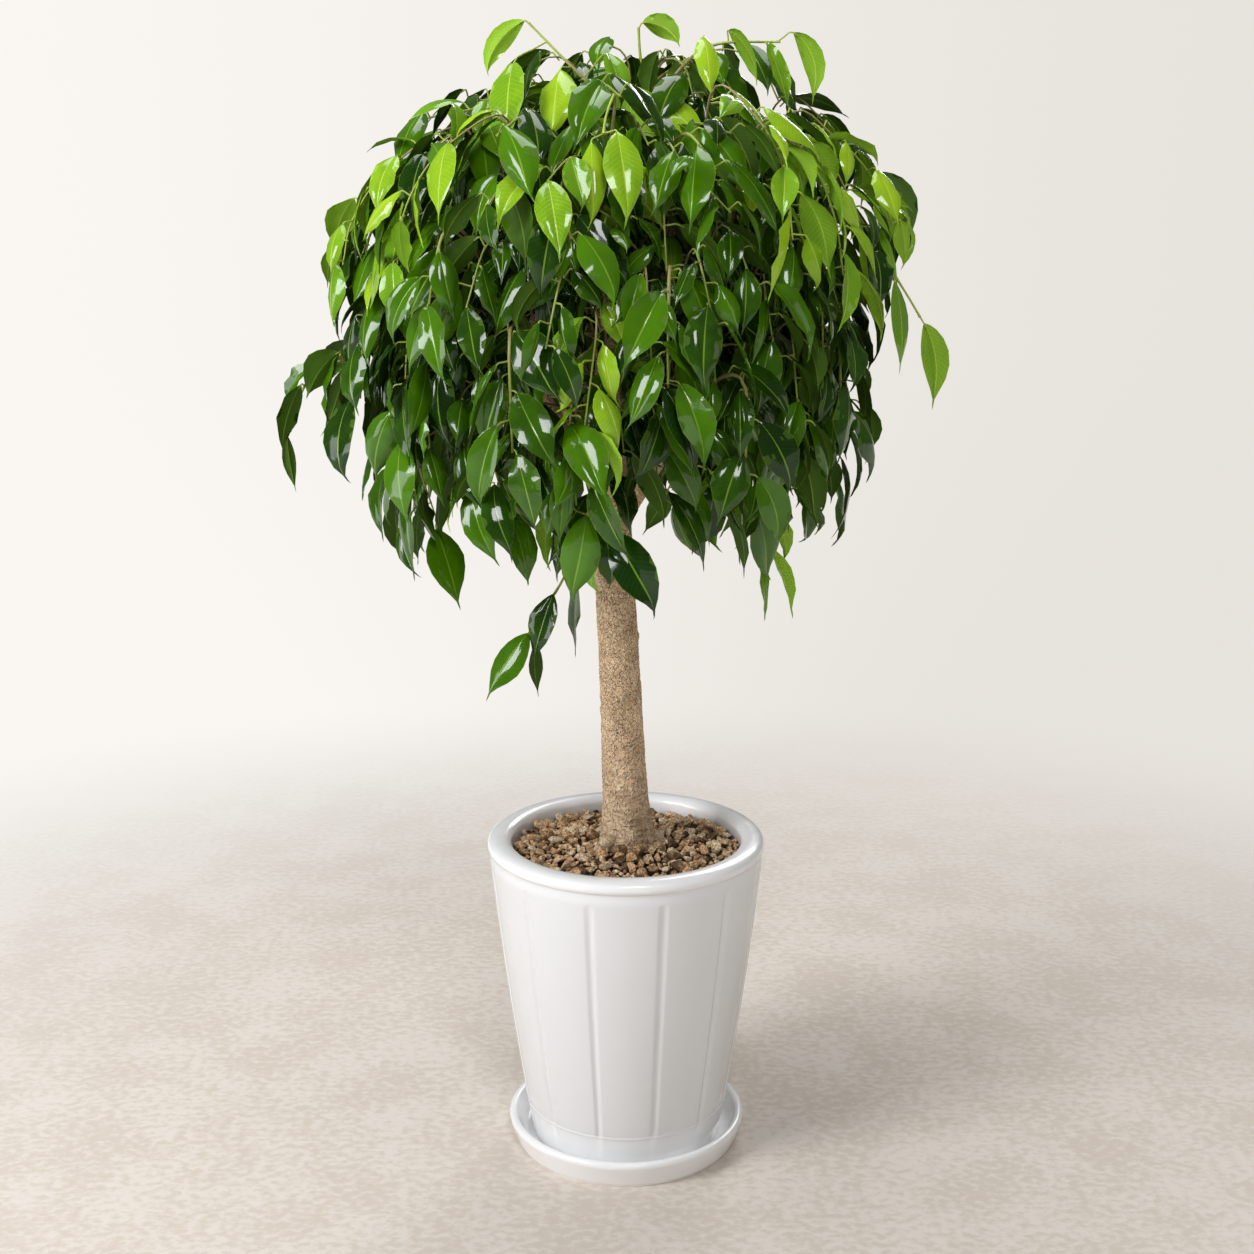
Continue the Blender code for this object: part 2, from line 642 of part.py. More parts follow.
def random_vector(rng):
    return Vector((rng.uniform(-1, 1), rng.uniform(-1, 1), rng.uniform(-1, 1)))


def blade_width(v):
    """Half width of a blade at v, from 0 at its base to 1 at its drip tip, as a share of its greatest."""
    peak_at = BLADE_BASE_POWER / (BLADE_BASE_POWER + BLADE_TIP_POWER)
    peak = peak_at**BLADE_BASE_POWER * (1 - peak_at) ** BLADE_TIP_POWER
    body = min(1.0, max(0.0, v / BLADE_BODY))
    oval = body**BLADE_BASE_POWER * (1 - body) ** BLADE_TIP_POWER / peak
    return max(oval, DRIP_TIP_SHARE * (1 - v)) if v > peak_at else oval


def hung_leaf(root, neck, tip, width, face, bend, twist=0.0, hook=0.0):
    """A leaf from its root in the twig over its neck to its tip. face is about where its upper side looks."""
    chord = tip - neck
    length = chord.length * (bend / 2) / math.sin(bend / 2)
    chord.normalize()
    up = (face - chord * face.dot(chord)).normalized()
    aim = chord * math.cos(bend / 2) + up * math.sin(bend / 2)
    face = up * math.cos(bend / 2) - chord * math.sin(bend / 2)
    return Leaf(root, neck, aim, face, length, width, bend, twist, hook)


def blade_frame(leaf, v):
    """The midrib's point at v, and the blade's side and face directions there."""
    angle = leaf.bend * v
    reach = leaf.length / leaf.bend
    centre = leaf.neck + (leaf.aim * math.sin(angle) - leaf.face * (1 - math.cos(angle))) * reach
    run = leaf.aim * math.cos(angle) - leaf.face * math.sin(angle)
    face = leaf.face * math.cos(angle) + leaf.aim * math.sin(angle)
    side = run.cross(face)
    turn = Matrix.Rotation(leaf.twist * v, 3, run)
    hook = v * (1 - v) * leaf.hook * leaf.length
    return centre + side * hook, turn @ side, turn @ face


def neck_section(leaf, grow):
    """The mitred section where the petiole bends over into the blade."""
    centre, side, face = blade_frame(leaf, 0.0)
    through = (leaf.neck - leaf.root).normalized() + leaf.aim
    through = (through - side * through.dot(side)).normalized()
    rise = through.cross(side)
    if rise.dot(face) < 0:
        rise.negate()
    half = side * (PETIOLE_RADIUS + grow)
    low = centre - rise * grow
    return (low - half, low + half, centre + rise * (PETIOLE_RIDGE + grow))


def blade_section(leaf, v, grow):
    """The section of a blade at v: its two margins and its ridge."""
    centre, side, face = blade_frame(leaf, v)
    half = side * (leaf.width / 2 * blade_width(v) + grow)
    low = centre - face * grow
    return (low - half, low + half, centre + face * (LEAF_RIDGE + grow))


def leaf_mesh(leaf, start=0.0, grow=0.0):
    """Points and faces of a leaf. Its petiole starts at a share of its length, 0 being inside the twig."""
    neck = neck_section(leaf, grow)
    back = (leaf.root - leaf.neck) * (1 - start)
    sections = [[corner + back for corner in neck], neck]
    sections += [blade_section(leaf, v, grow) for v in BLADE_STATIONS]
    points = [corner for section in sections for corner in section]
    tip = len(points)
    centre, _, face = blade_frame(leaf, 1.0)
    points.append(centre + face * (LEAF_RIDGE / 4))
    faces = [(0, 1, 2), (0, 2, 5, 3), (2, 1, 4, 5), (1, 0, 3, 4)]
    for index in range(1, len(sections) - 1):
        a, b, c = 3 * index, 3 * index + 1, 3 * index + 2
        d, e, f = a + 3, b + 3, c + 3
        faces += [(a, c, d), (c, f, d), (c, b, f), (b, e, f), (a, d, b), (d, e, b)]
    a = tip - 3
    faces += [(a, a + 2, tip), (a + 2, a + 1, tip), (a + 1, a, tip)]
    return points, faces


def trial_leaf(place, run, side_sign, rng, trial):
    """One way for a leaf to hang from a twig point. Later trials stray further and are a little shorter."""
    out = place - SHELL_CENTRE
    out = (out - run * out.dot(run)).normalized()
    sideways = run.cross(out).normalized() * side_sign
    stray = random_vector(rng) * (LEAF_STRAY + LEAF_STRAY_STEP * trial)
    chord = mixed(HANG_SHARES, sideways, run, out, UP, stray).normalized()
    stalk = mixed(STALK_SHARES, sideways, run, out, UP, stray).normalized()
    face = mixed(FACE_SHARES, sideways * rng.random(), run, out, UP, stray)
    length = LEAF_LENGTH * (1 - LEAF_SHRINK_STEP * trial) * rng.uniform(*LEAF_LENGTH_SHARES)
    width = length * LEAF_WIDTH_SHARE * rng.uniform(*LEAF_WIDTH_SHARES)
    neck = place + stalk * rng.uniform(*PETIOLE_LENGTHS)
    bend = rng.uniform(*LEAF_BENDS)
    twist = rng.uniform(-LEAF_TWIST, LEAF_TWIST)
    hook = rng.uniform(-LEAF_HOOK, LEAF_HOOK)
    return hung_leaf(place, neck, neck + chord * length, width, face, bend, twist, hook)


def mixed(shares, *directions):
    """The sum of some directions, each by its share."""
    return sum((share * way for share, way in zip(shares, directions)), Vector())


def drawn_leaf(path, base, tip, width, turn, bend):
    """A leaf of one of the drawn shoots, its petiole rooted at the nearest point of the twig."""
    neck = Vector(base)
    tip = Vector(tip)
    root = min((nearest_on(a, b, neck) for a, b in zip(path, path[1:])), key=lambda p: (p - neck).length)
    out = (neck - SHELL_CENTRE).normalized()
    out.z = max(out.z, 0.0)
    face = Matrix.Rotation(math.radians(turn), 3, (tip - neck).normalized()) @ (out + DRAWN_FACE)
    return hung_leaf(root, neck, tip, width, face, bend)


def nearest_on(a, b, place):
    """The point of a segment that is nearest to a place, kept a little inside the segment's ends."""
    share = (place - a).dot(b - a) / (b - a).length_squared
    return a.lerp(b, min(1 - SEGMENT_END, max(SEGMENT_END, share)))


def shape_of(points, faces):
    """A shape as something that other shapes can be tested against."""
    low = Vector([min(p[i] for p in points) for i in range(3)])
    high = Vector([max(p[i] for p in points) for i in range(3)])
    return Placed((low + high) / 2, (high - low).length / 2, BVHTree.FromPolygons(points, faces))


def shape_of_object(obj):
    points = [obj.matrix_world @ v.co for v in obj.data.vertices]
    return shape_of(points, [tuple(polygon.vertices) for polygon in obj.data.polygons])


def is_clear(shape, others):
    for other in others:
        near = (shape.centre - other.centre).length < shape.reach + other.reach
        if near and shape.tree.overlap(other.tree):
            return False
    return True


def grow_twig(shoot, home, finishes):
    count = len(shoot.path)
    radii = [TWIG_RADIUS + (TWIG_TIP_RADIUS - TWIG_RADIUS) * i / count for i in range(count)]
    shoot.twig = tube(shoot.name, shoot.path, radii, TWIG_SIDES, home, finishes[shoot.young])
    shoot.shape = shape_of_object(shoot.twig)


def drawn_shoots(home, finishes, bark):
    """The shoots that stand out from the crown."""
    made = []
    for name, young, carrier, share, leafy, points, leaves in OWN_SHOOTS:
        points = [Vector(point) for point in points]
        path = [*knot_on(carrier, share, points[0], bark), *points]
        shoot = Shoot(name, young, path, leafy)
        grow_twig(shoot, home, finishes)
        shoot.leaves = [drawn_leaf(path, *leaf) for leaf in leaves]
        made.append(shoot)
    return made


def plain_shoots(home, finishes, bark, placed):
    """The shoots that fill the crown. Each is nudged until it is clear of what is placed before it."""
    placed = list(placed)
    made = []
    for index, (azimuth, polar, carrier, share) in enumerate(shoot_plan()):
        for trial in range(TWIG_TRIES):
            rng = draw("twig", index, trial)
            path = twig_path(azimuth, polar, carrier, share, bark, rng, TWIG_NUDGE * trial)
            shoot = Shoot(f"shoot_{index + 1:02d}", index % YOUNG_EVERY == FIRST_YOUNG, path)
            grow_twig(shoot, home, finishes)
            if is_clear(shoot.shape, placed):
                placed.append(shoot.shape)
                made.append(shoot)
                break
            bpy.data.objects.remove(shoot.twig)
    return made


def leaf_room(shoot):
    """The places on a twig where random leaves grow, from its tip back: a point and the twig's direction."""
    path = shoot.path
    total = sum((b - a).length for a, b in zip(path, path[1:]))
    room = []
    for rank in range(LEAVES_PER_SHOOT):
        share = shoot.leafy * LAST_LEAF_SHARE - rank * LEAF_SPACING / total
        if share > TWIG_BARE_SHARE:
            room.append(along(path, [0.0] * len(path), share)[:2])
    return room


def grow_leaves(shoots, placed):
    """Random leaves for every twig, taken one from each in turn, each bent clear of all that is there."""
    placed = list(placed)
    rooms = [leaf_room(shoot) for shoot in shoots]
    for rank in range(LEAVES_PER_SHOOT):
        for shoot, room in zip(shoots, rooms):
            if rank >= len(room):
                continue
            others = [shape for shape in placed if shape is not shoot.shape]
            for trial in range(LEAF_TRIES):
                rng = draw("leaf", shoot.name, rank, trial)
                leaf = trial_leaf(*room[rank], 1 if rank % 2 else -1, rng, trial)
                blade = shape_of(*leaf_mesh(leaf, PETIOLE_FREE, LEAF_CLEARANCE))
                whole = shape_of(*leaf_mesh(leaf, PETIOLE_HIDDEN, LEAF_CLEARANCE))
                if is_clear(blade, [shoot.shape]) and is_clear(whole, others):
                    shoot.leaves.append(leaf)
                    placed.append(shape_of(*leaf_mesh(leaf, PETIOLE_HIDDEN)))
                    break


def shoots(home, trunk_obj, finishes):
    """Every leafy shoot: its twig and leaves in one solid."""
    bark = shape_of_object(trunk_obj)
    placed = [bark]
    grown = drawn_shoots(home, finishes, bark)
    for shoot in grown:
        placed.append(shoot.shape)
        placed += [shape_of(*leaf_mesh(leaf, PETIOLE_HIDDEN)) for leaf in shoot.leaves]
    plain = plain_shoots(home, finishes, bark, placed)
    placed += [shoot.shape for shoot in plain]
    grown += plain
    grow_leaves(grown, placed)
    for shoot in grown:
        group = collection(f"{shoot.name}_leaves")
        for number, leaf in enumerate(shoot.leaves):
            mesh_object(f"{shoot.name}_leaf_{number + 1}", *leaf_mesh(leaf), group)
        joined(shoot.twig, group, home)


def main():
    clear_scene()
    home = collection("potted weeping fig")
    cutters = collection("cutters")
    glaze = material("white glaze", (0.86, 0.87, 0.87), 0.25)
    earth = material("soil", (0.16, 0.09, 0.05), 0.95)
    bark = material("bark", (0.42, 0.30, 0.19), 0.8)
    finishes = {
        False: material("leaf green", (0.05, 0.20, 0.02), 0.3),
        True: material("young leaf green", (0.25, 0.45, 0.04), 0.3),
    }
    saucer(home, glaze)
    pot(home, cutters, glaze)
    soil(home, earth)
    trunk_obj = trunk(home, bark)
    shoots(home, trunk_obj, finishes)


main()
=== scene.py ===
"""The looks of the potted weeping fig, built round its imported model.

Metres, +Z up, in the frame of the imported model. The growth rule is the one that the solids were grown by, so
every fine twig and leaf lies where its solid does. More shoots of the same kind then fill the crown.
"""

import json
import math
import random
from collections import namedtuple
from dataclasses import dataclass, field

import bmesh
import bpy
import numpy as np
from mathutils import Matrix, Vector, noise
from mathutils.bvhtree import BVHTree

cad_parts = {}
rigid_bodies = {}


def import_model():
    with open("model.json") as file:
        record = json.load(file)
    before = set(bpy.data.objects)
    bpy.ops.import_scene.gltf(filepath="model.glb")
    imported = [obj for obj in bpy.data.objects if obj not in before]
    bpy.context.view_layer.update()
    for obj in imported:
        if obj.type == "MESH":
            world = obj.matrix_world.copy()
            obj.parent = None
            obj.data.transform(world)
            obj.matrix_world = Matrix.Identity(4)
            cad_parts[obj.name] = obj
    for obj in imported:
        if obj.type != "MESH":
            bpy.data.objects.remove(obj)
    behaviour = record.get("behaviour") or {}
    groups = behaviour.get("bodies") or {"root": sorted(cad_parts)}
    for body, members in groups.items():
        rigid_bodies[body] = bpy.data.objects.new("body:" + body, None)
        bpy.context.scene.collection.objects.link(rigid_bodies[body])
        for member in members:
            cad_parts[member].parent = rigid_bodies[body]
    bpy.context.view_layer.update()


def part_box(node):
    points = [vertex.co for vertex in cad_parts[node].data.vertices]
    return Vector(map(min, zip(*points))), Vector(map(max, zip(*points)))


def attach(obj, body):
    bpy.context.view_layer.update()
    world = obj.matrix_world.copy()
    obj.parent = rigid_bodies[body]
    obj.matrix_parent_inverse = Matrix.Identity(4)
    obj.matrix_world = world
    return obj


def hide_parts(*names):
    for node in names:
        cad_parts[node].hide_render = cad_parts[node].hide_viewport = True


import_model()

SAUCER_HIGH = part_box("saucer")[1]
POT_LOW, POT_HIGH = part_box("pot")
SOIL_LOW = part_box("soil")[0]
TRUNK_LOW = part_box("trunk")[0]

# The camera of the photo, fitted to the rims of the pot and the saucer.
CAMERA_PLACE = Vector((0.0009, -1.7938, 1.0045))
CAMERA_PITCH_DOWN = math.radians(13.11)
CAMERA_LENS = 49.77
CAMERA_SENSOR = 36.0

# The growth rule's values, as in the part's source.
SEAT_GAP = 0.0003
WELD = 0.00001
RANDOM_SEED = 11
TRUNK = (
    (0.000, 0.000, TRUNK_LOW.z, 0.0270),
    (0.000, 0.000, 0.330, 0.0298),
    (0.000, 0.000, 0.352, 0.0292),
    (0.000, 0.000, 0.372, 0.0266),
    (-0.001, 0.000, 0.400, 0.0248),
    (-0.003, 0.000, 0.450, 0.0230),
    (-0.006, 0.000, 0.520, 0.0216),
    (-0.010, 0.000, 0.600, 0.0207),
    (-0.014, 0.001, 0.680, 0.0203),
    (-0.017, 0.002, 0.740, 0.0190),
    (-0.019, 0.003, 0.800, 0.0150),
    (-0.020, 0.004, 0.870, 0.0115),
    (-0.018, 0.000, 0.950, 0.0085),
    (-0.015, -0.004, 1.030, 0.0062),
    (-0.016, 0.000, 1.090, 0.0046),
)
TRUNK_SIDES = 12
ROOT_LOBES = 5
ROOT_LOBE_SHARE = 0.07
ROOT_LOBE_TURN = 0.6
ROOT_FLARE_Z = (0.300, 0.352, 0.400)
LEADER_FROM_Z = 0.94
LIMBS = 6
LIMB_SIDES = 6
LIMB_FIRST_AZIMUTH = math.radians(25)
LIMB_FIRST_Z = 0.700
LIMB_STEP_Z = 0.013
LIMB = (
    (0.000, 0.000, 0.0105),
    (0.032, 0.028, 0.0100),
    (0.066, 0.080, 0.0086),
    (0.096, 0.142, 0.0073),
    (0.118, 0.208, 0.0061),
    (0.130, 0.262, 0.0052),
)
LIMB_ORDER = (0, 5, 4, 3, 2, 1)
LIMB_SWAY = math.radians(7)
LIMB_SWAY_STEP = 1.3
SHELL_CENTRE = Vector((-0.018, 0.0, 0.885))
SHELL_RADIUS = 0.258
SHELL_RISE = 0.275
SHELL_DROP = 0.235
SHELL_SQUARENESS = 0.75
SHOOTS = 39
SHOOT_POLARS = (math.radians(17), math.radians(134))
LEADER_POLAR = math.radians(42)
GOLDEN_ANGLE = math.pi * (3 - math.sqrt(5))
CREST_POLAR = math.radians(36)
CREST_LEAST_POLAR = 0.04
CREST_LIFT = 1.08
TIP_SHARES = (0.95, 1.0)
LIMB_BARE_SHARE = 0.35
LEADER_BARE_SHARE = 0.05
LAST_KNOT_SHARE = 0.97
YOUNG_EVERY = 8
FIRST_YOUNG = 3
KNOT_STRAIGHT = 0.008
TWIG_POINTS = 7
TWIG_RADIUS = 0.0024
TWIG_TIP_RADIUS = 0.0016
TWIG_TRIES = 60
TWIG_NUDGE = 0.004
TWIG_STIFFNESS = 0.35
TWIG_RISE = 0.01
TWIG_SIDES = 4
SEGMENT_END = 0.05
UP = Vector((0, 0, 1))
LEAF_SPACING = 0.026
LEAVES_PER_SHOOT = 6
LAST_LEAF_SHARE = 0.985
TWIG_BARE_SHARE = 0.2
LEAF_LENGTH = 0.080
LEAF_WIDTH_SHARE = 0.47
LEAF_RIDGE = 0.0022
LEAF_TRIES = 26
LEAF_CLEARANCE = 0.0006
LEAF_LENGTH_SHARES = (0.85, 1.12)
LEAF_WIDTH_SHARES = (0.9, 1.1)
LEAF_BENDS = (0.3, 1.0)
LEAF_TWIST = 0.4
LEAF_HOOK = 0.2
LEAF_STRAY = 0.25
LEAF_STRAY_STEP = 0.045
LEAF_SHRINK_STEP = 0.008
HANG_SHARES = (0.45, 0.35, 0.08, -0.85, 0.6)
STALK_SHARES = (0.7, 0.3, 0.7, 0.0, 0.4)
FACE_SHARES = (0.5, 0.0, 1.0, 0.35, 0.4)
DRAWN_FACE = Vector((0, -0.5, 0.35))
PETIOLE_LENGTHS = (0.011, 0.0145)
PETIOLE_RADIUS = 0.0012
PETIOLE_RIDGE = 0.0016
PETIOLE_HIDDEN = 0.3
PETIOLE_FREE = 0.6
BLADE_BODY = 0.88
BLADE_BASE_POWER = 0.55
BLADE_TIP_POWER = 0.95
DRIP_TIP_SHARE = 0.10
BLADE_STATIONS = (0.28, 0.57, 0.83)

# The shoots that stand out from the crown, drawn one by one in millimetres.
# Each has its name, whether it is young, the limb that carries it and how far along, the share of its twig,
# from the root, that other leaves may grow from, the twig's points, and its leaves. LIMBS is the leader.
# A leaf has its base, its tip, its width, its turn about its length in degrees, and its bend in radians.
OWN_SHOOTS = (
    ("shoot_long_left", False, 3, 0.62, 0.70,
     ((-200, -80, 930), (-242, -50, 898), (-274, -38, 872), (-305, -42, 866),
      (-324, -48, 842), (-338, -50, 800)),
     (((-287, -46, 879), (-317, -62, 833), 36, 20, 0.7), ((-312, -40, 868), (-348, -30, 826), 26, -30, 0.6),
      ((-324, -54, 848), (-345, -62, 776), 30, 15, 0.5), ((-341, -50, 796), (-334, -48, 738), 16, 40, 0.3),
      ((-278, -32, 866), (-308, -18, 790), 22, 60, 0.3))),
    ("shoot_long_right", True, 5, 0.86, 0.45,
     ((120, -98, 1092), (158, -88, 1078), (204, -70, 1040), (234, -60, 1000),
      (259, -58, 962), (280, -60, 930), (290, -60, 914)),
     (((189, -78, 1083), (250, -50, 1056), 24, 0, 0.9), ((216, -74, 1036), (280, -75, 1017), 24, -20, 0.5),
      ((246, -68, 1000), (266, -64, 944), 22, 30, 0.5), ((222, -74, 1016), (234, -82, 924), 27, 10, 0.4),
      ((262, -68, 950), (269, -78, 859), 40, 0, 0.3), ((294, -60, 908), (302, -60, 824), 28, -50, 1.0))),
    ("shoot_top_left", True, LIMBS, 0.82, 0.45,
     ((-24, -60, 1122), (-44, -64, 1142), (-78, -52, 1176), (-93, -50, 1191)),
     (((-97, -50, 1193), (-134, -58, 1138), 26, 60, 1.3),
      ((-106, -78, 1152), (-109, -120, 1066), 43, 0, 0.7),
      ((-62, -80, 1146), (-68, -118, 1076), 43, 0, 0.6), ((-18, -74, 1160), (-2, -100, 1106), 32, 0, 0.8))),
    ("shoot_top_middle", True, LIMBS, 0.92, 0.55,
     ((22, -30, 1124), (14, -36, 1160), (12, -40, 1188)),
     (((16, -40, 1192), (52, -44, 1168), 26, -40, 1.4),)),
    ("shoot_top_right", True, LIMBS, 0.72, 0.50,
     ((26, -56, 1112), (57, -50, 1154), (88, -48, 1172), (148, -48, 1174)),
     (((74, -58, 1178), (79, -92, 1116), 28, 10, 0.8), ((98, -50, 1184), (126, -70, 1130), 40, -10, 0.9),
      ((134, -54, 1172), (155, -64, 1110), 22, 30, 0.6),
      ((160, -50, 1182), (174, -50, 1116), 24, -50, 1.7))),
    ("shoot_front_top", True, 4, 0.98, 0.60,
     ((-10, -150, 1112), (-18, -172, 1098), (-20, -184, 1082)),
     (((-31, -186, 1076), (-28, -212, 996), 28, 0, 0.5), ((-8, -190, 1084), (4, -222, 999), 38, 0, 0.5))),
    ("shoot_low_left", False, 4, 0.40, 0.45,
     ((-24, -110, 770), (-34, -104, 726), (-50, -96, 686), (-66, -92, 652),
      (-84, -92, 624), (-92, -92, 606)),
     (((-72, -100, 644), (-94, -106, 573), 38, 0, 0.3), ((-98, -100, 604), (-143, -112, 537), 36, 0, 0.3),
      ((-46, -88, 672), (-51, -80, 574), 26, 20, 0.3), ((-92, -84, 590), (-90, -78, 532), 18, 60, 0.2),
      ((-44, -112, 738), (-73, -124, 660), 40, 0, 0.4))),
    ("shoot_low_right", True, 5, 0.36, 0.75,
     ((108, -72, 770), (122, -66, 728), (130, -62, 694)),
     (((133, -64, 676), (141, -66, 606), 20, 10, 0.4), ((141, -60, 684), (168, -54, 610), 24, -20, 0.7))),
)
DRAWN_NAMES = [shoot[0] for shoot in OWN_SHOOTS]

# The shoots that fill the crown between those of the solids.
FILL_SHOOTS = 200
FILL_TURN = 1.1
FILL_POLARS = (math.radians(8), math.radians(136))
FILL_TIP_SHARES = (0.78, 1.0)
FILL_CREST_LIFT = 0.98
FILL_SWAY = 0.006
OPEN_HALF_WIDTH = 0.052
OPEN_FRONT_Y = -0.05
OPEN_TOP_Z = 0.735
FILL_LEAVES = 10
FILL_SPACING = 0.0195
FILL_TRIES = 26
FILL_LENGTH_SHARES = (0.62, 1.08)
FILL_LOOSENESS = 0.8
FILL_YOUNG_SHARES = (0.03, 0.30)
FILL_YOUNG_HEIGHTS = (0.90, 1.12)
FILL_TWIG_RADIUS = 0.0013
FILL_TWIG_TIP_RADIUS = 0.0008

# Filling shoots on the crown's shoulders, drawn in millimetres: young or not, limb, share along it, points.
SHOULDER_SHOOTS = (
    (True, 5, 0.90, ((150, -85, 1100), (200, -70, 1085), (240, -60, 1045), (262, -50, 1000))),
    (False, 0, 0.92, ((150, 20, 1120), (205, 30, 1100), (245, 30, 1050), (262, 28, 990))),
    (False, 5, 0.80, ((170, -120, 1060), (215, -105, 1020), (235, -100, 960))),
    (True, 3, 0.90, ((-150, -80, 1090), (-220, -90, 1060), (-262, -80, 1010), (-275, -75, 965))),
    (False, 2, 0.90, ((-150, 40, 1100), (-215, 30, 1060), (-258, 20, 1000), (-272, 16, 940))),
    (True, 5, 0.84, ((120, -145, 1090), (165, -160, 1062), (190, -165, 1012), (200, -165, 958))),
    (True, 5, 0.96, ((78, -135, 1120), (118, -172, 1096), (142, -190, 1048), (150, -196, 990))),
    (True, 3, 0.92, ((-110, -120, 1098), (-168, -148, 1070), (-202, -154, 1020), (-212, -150, 968))),
    (False, LIMBS, 0.78, ((-36, -8, 1128), (-58, -16, 1160), (-84, -28, 1158), (-106, -44, 1128))),
    (False, LIMBS, 0.90, ((4, 10, 1146), (-6, 12, 1172), (-26, 10, 1174), (-44, 4, 1150))),
    (False, LIMBS, 0.84, ((34, 6, 1130), (66, 8, 1162), (100, 4, 1172), (132, -6, 1156), (150, -14, 1122))),
    (False, LIMBS, 0.88, ((18, 30, 1140), (34, 46, 1166), (56, 54, 1162), (74, 64, 1130))),
    (False, LIMBS, 0.95, ((24, -14, 1140), (40, -26, 1160), (56, -44, 1152), (64, -62, 1124))),
)

# Fine leaves. A style is how one blade folds, waves and curls.
BLADE_ROWS = np.array((0.012, 0.055, 0.13, 0.24, 0.37, 0.51, 0.65, 0.78, 0.88, 0.95))
BLADE_COLUMNS = np.array((-1.0, -0.62, -0.26, -0.05, 0.05, 0.26, 0.62, 1.0))
PROXY_ROWS = np.array((0.02, 0.12, 0.28, 0.46, 0.64, 0.80, 0.92, 1.0))
PROXY_COLUMNS = np.array((-1.0, -0.5, 0.0, 0.5, 1.0))
BLADE_THICKNESS = 0.00045
RIB_WIDTH_SHARE = 0.06
RIB_GROOVE = 0.0006
RIB_RISE = 0.0007
RIB_TAPER = 0.7
FINE_BODY = 0.86
FINE_BASE_POWER = 0.92
FINE_OVAL_POWER = 0.85
FINE_TAIL_SHARE = 0.095
FINE_TAIL_LENGTH = 0.18
FINE_TAIL_POWER = 0.7
FINE_RIDGE_POWER = 1.5
STYLE_TRIES = 10
SLIMNESS = (0.80, 1.02)
FOLDS = (-0.0055, 0.0075)
BULGES = (-0.0004, 0.0022)
WAVES = (0.0004, 0.0028)
BEATS = (1.2, 3.4)
TURNS = 0.6
FRONT_TURN = 1.15
SIDE_TURN = 0.6
EDGE_FALL = 1.2
TIP_FROM = 0.72
TIP_LENGTH = 0.28
TIP_CURL = 0.008
TIP_DIP = 0.009
STALK_RADIUS = 0.00085
STALK_SIDES = 5
STALK_POINTS = 5
STALK_ENDS_AT = 0.07
STALK_BEND = (0.6, 0.3)
STALK_TIP_SHARE = 0.6
STALK_FINISH = 2
FINE_TWIG_TIP = 0.7 * TWIG_TIP_RADIUS
FINE_TWIG_SIDES = 6
FINE_TWIG_STEP = 0.009
KNOT_SWELL = 0.35
KNOT_REACH = 0.003

# The glazed pot and saucer. Their greatest sizes are those of their solids. Corners are offsets out and up,
# with how far their rounding reaches. A sweep is from one angle to another in degrees, and its points.
GLAZE_SHARP = 50
RIM_SQUARENESS = 0.85
SAUCER_SIDES = 144
SAUCER_FLOOR = 0.009
SAUCER_FLAT = 0.1150
SAUCER_LIP = 0.0045
SAUCER_FOOT = 0.1225
SAUCER_ROUNDING = 0.006
SAUCER_ROUNDING_STEPS = 8
SAUCER_CORNERS = ((0.002, 0.0035, 0.001), (0.0008, 0.0022, 0.0006), (0.0, 0.0, 0.0008))
LIP_SWEEP = (170, -25, 16)
RIM_SWEEP = (180, -42, 24)
RIM_ACROSS = 0.0130
RIM_UP = 0.0085
RIM_DROP = 0.008
CREASE_Z = 0.339
CREASE_DEPTH = 0.0012
CREASE_ROUNDING = 0.0022
SHOULDER_Z = 0.331
SHOULDER_RADIUS = 0.1488
SHOULDER_ROUNDING = 0.004
SHOULDER_ROOM = 0.006
BAND_Z = 0.048
BAND_RADIUS = 0.1118
BAND_ROOM = 0.005
BAND_CORNERS = ((0.0001, 0.0035, 0.001), (0.0004, 0.0015, 0.0009), (-0.0006, -0.0012, 0.001))
POT_BULGE = 0.0020
POT_WALL = 0.0080
POT_WALL_ROWS = 28
POT_FOOT = 0.1045
POT_FOOT_CORNERS = ((0.0008, 0.0045, 0.002), (0.0, 0.0, 0.0012), (-0.012, 0.0, 0.001), (-0.014, 0.003, 0.001))
FOOT_HOLLOW = 0.003
POT_FLOOR_Z = 0.021
POT_FLOOR_INSET = 0.004
POT_ROUNDINGS = (0.012, 0.03, 0.004)
THROAT_Z = 0.271
DRAIN_RADIUS = 0.010
FLUTES = 12
FLUTE_FIRST = math.radians(15)
FLUTE_DEPTH = 0.0017
FLUTE_HALF_WIDTH = 0.0066
FLUTE_LOW_Z = 0.046
FLUTE_TOP_Z = 0.330
FLUTE_FADE = 0.016
FLUTE_COLUMNS = (0.0, 0.0008, 0.0016, 0.0024, 0.0032, 0.0040, 0.0048, 0.0056, 0.0064, 0.0074, 0.009, 0.016,
                 0.026, 0.036)

# Potting mix: a plug with a hole for the stem, under a layer of loose lumps of three sizes. Each size has its
# least and greatest radius, how many are tried and how fine they are.
STEM_HOLE_RADIUS = 0.0325
MIX_RADIUS = 0.1234
MIX_EDGE_Z = 0.3375
MIX_MOUND = 0.0095
MIX_SIDES = 120
MIX_RINGS = 40
MIX_DROP = 0.0028
MIX_BUMP_HEIGHT = 0.0012
MIX_BUMP_SCALE = 60
MIX_GAP = 0.0006
MIX_FOOT_INSETS = (0.005, 0.013)
MIX_FOOT_RISE = 0.0086
LUMP_INNER_RADIUS = 0.031
LUMP_SIZES = ((0.0062, 0.0092, 260, 3), (0.0038, 0.0060, 2000, 2), (0.0021, 0.0036, 6500, 2))
LUMP_ROOM = 0.74
LUMP_CUTS = 10
LUMP_CUT_DEPTHS = (0.36, 0.78)
LUMP_SWELL = 1.25
LUMP_SHARP = 28
LUMP_SHIFT = 40
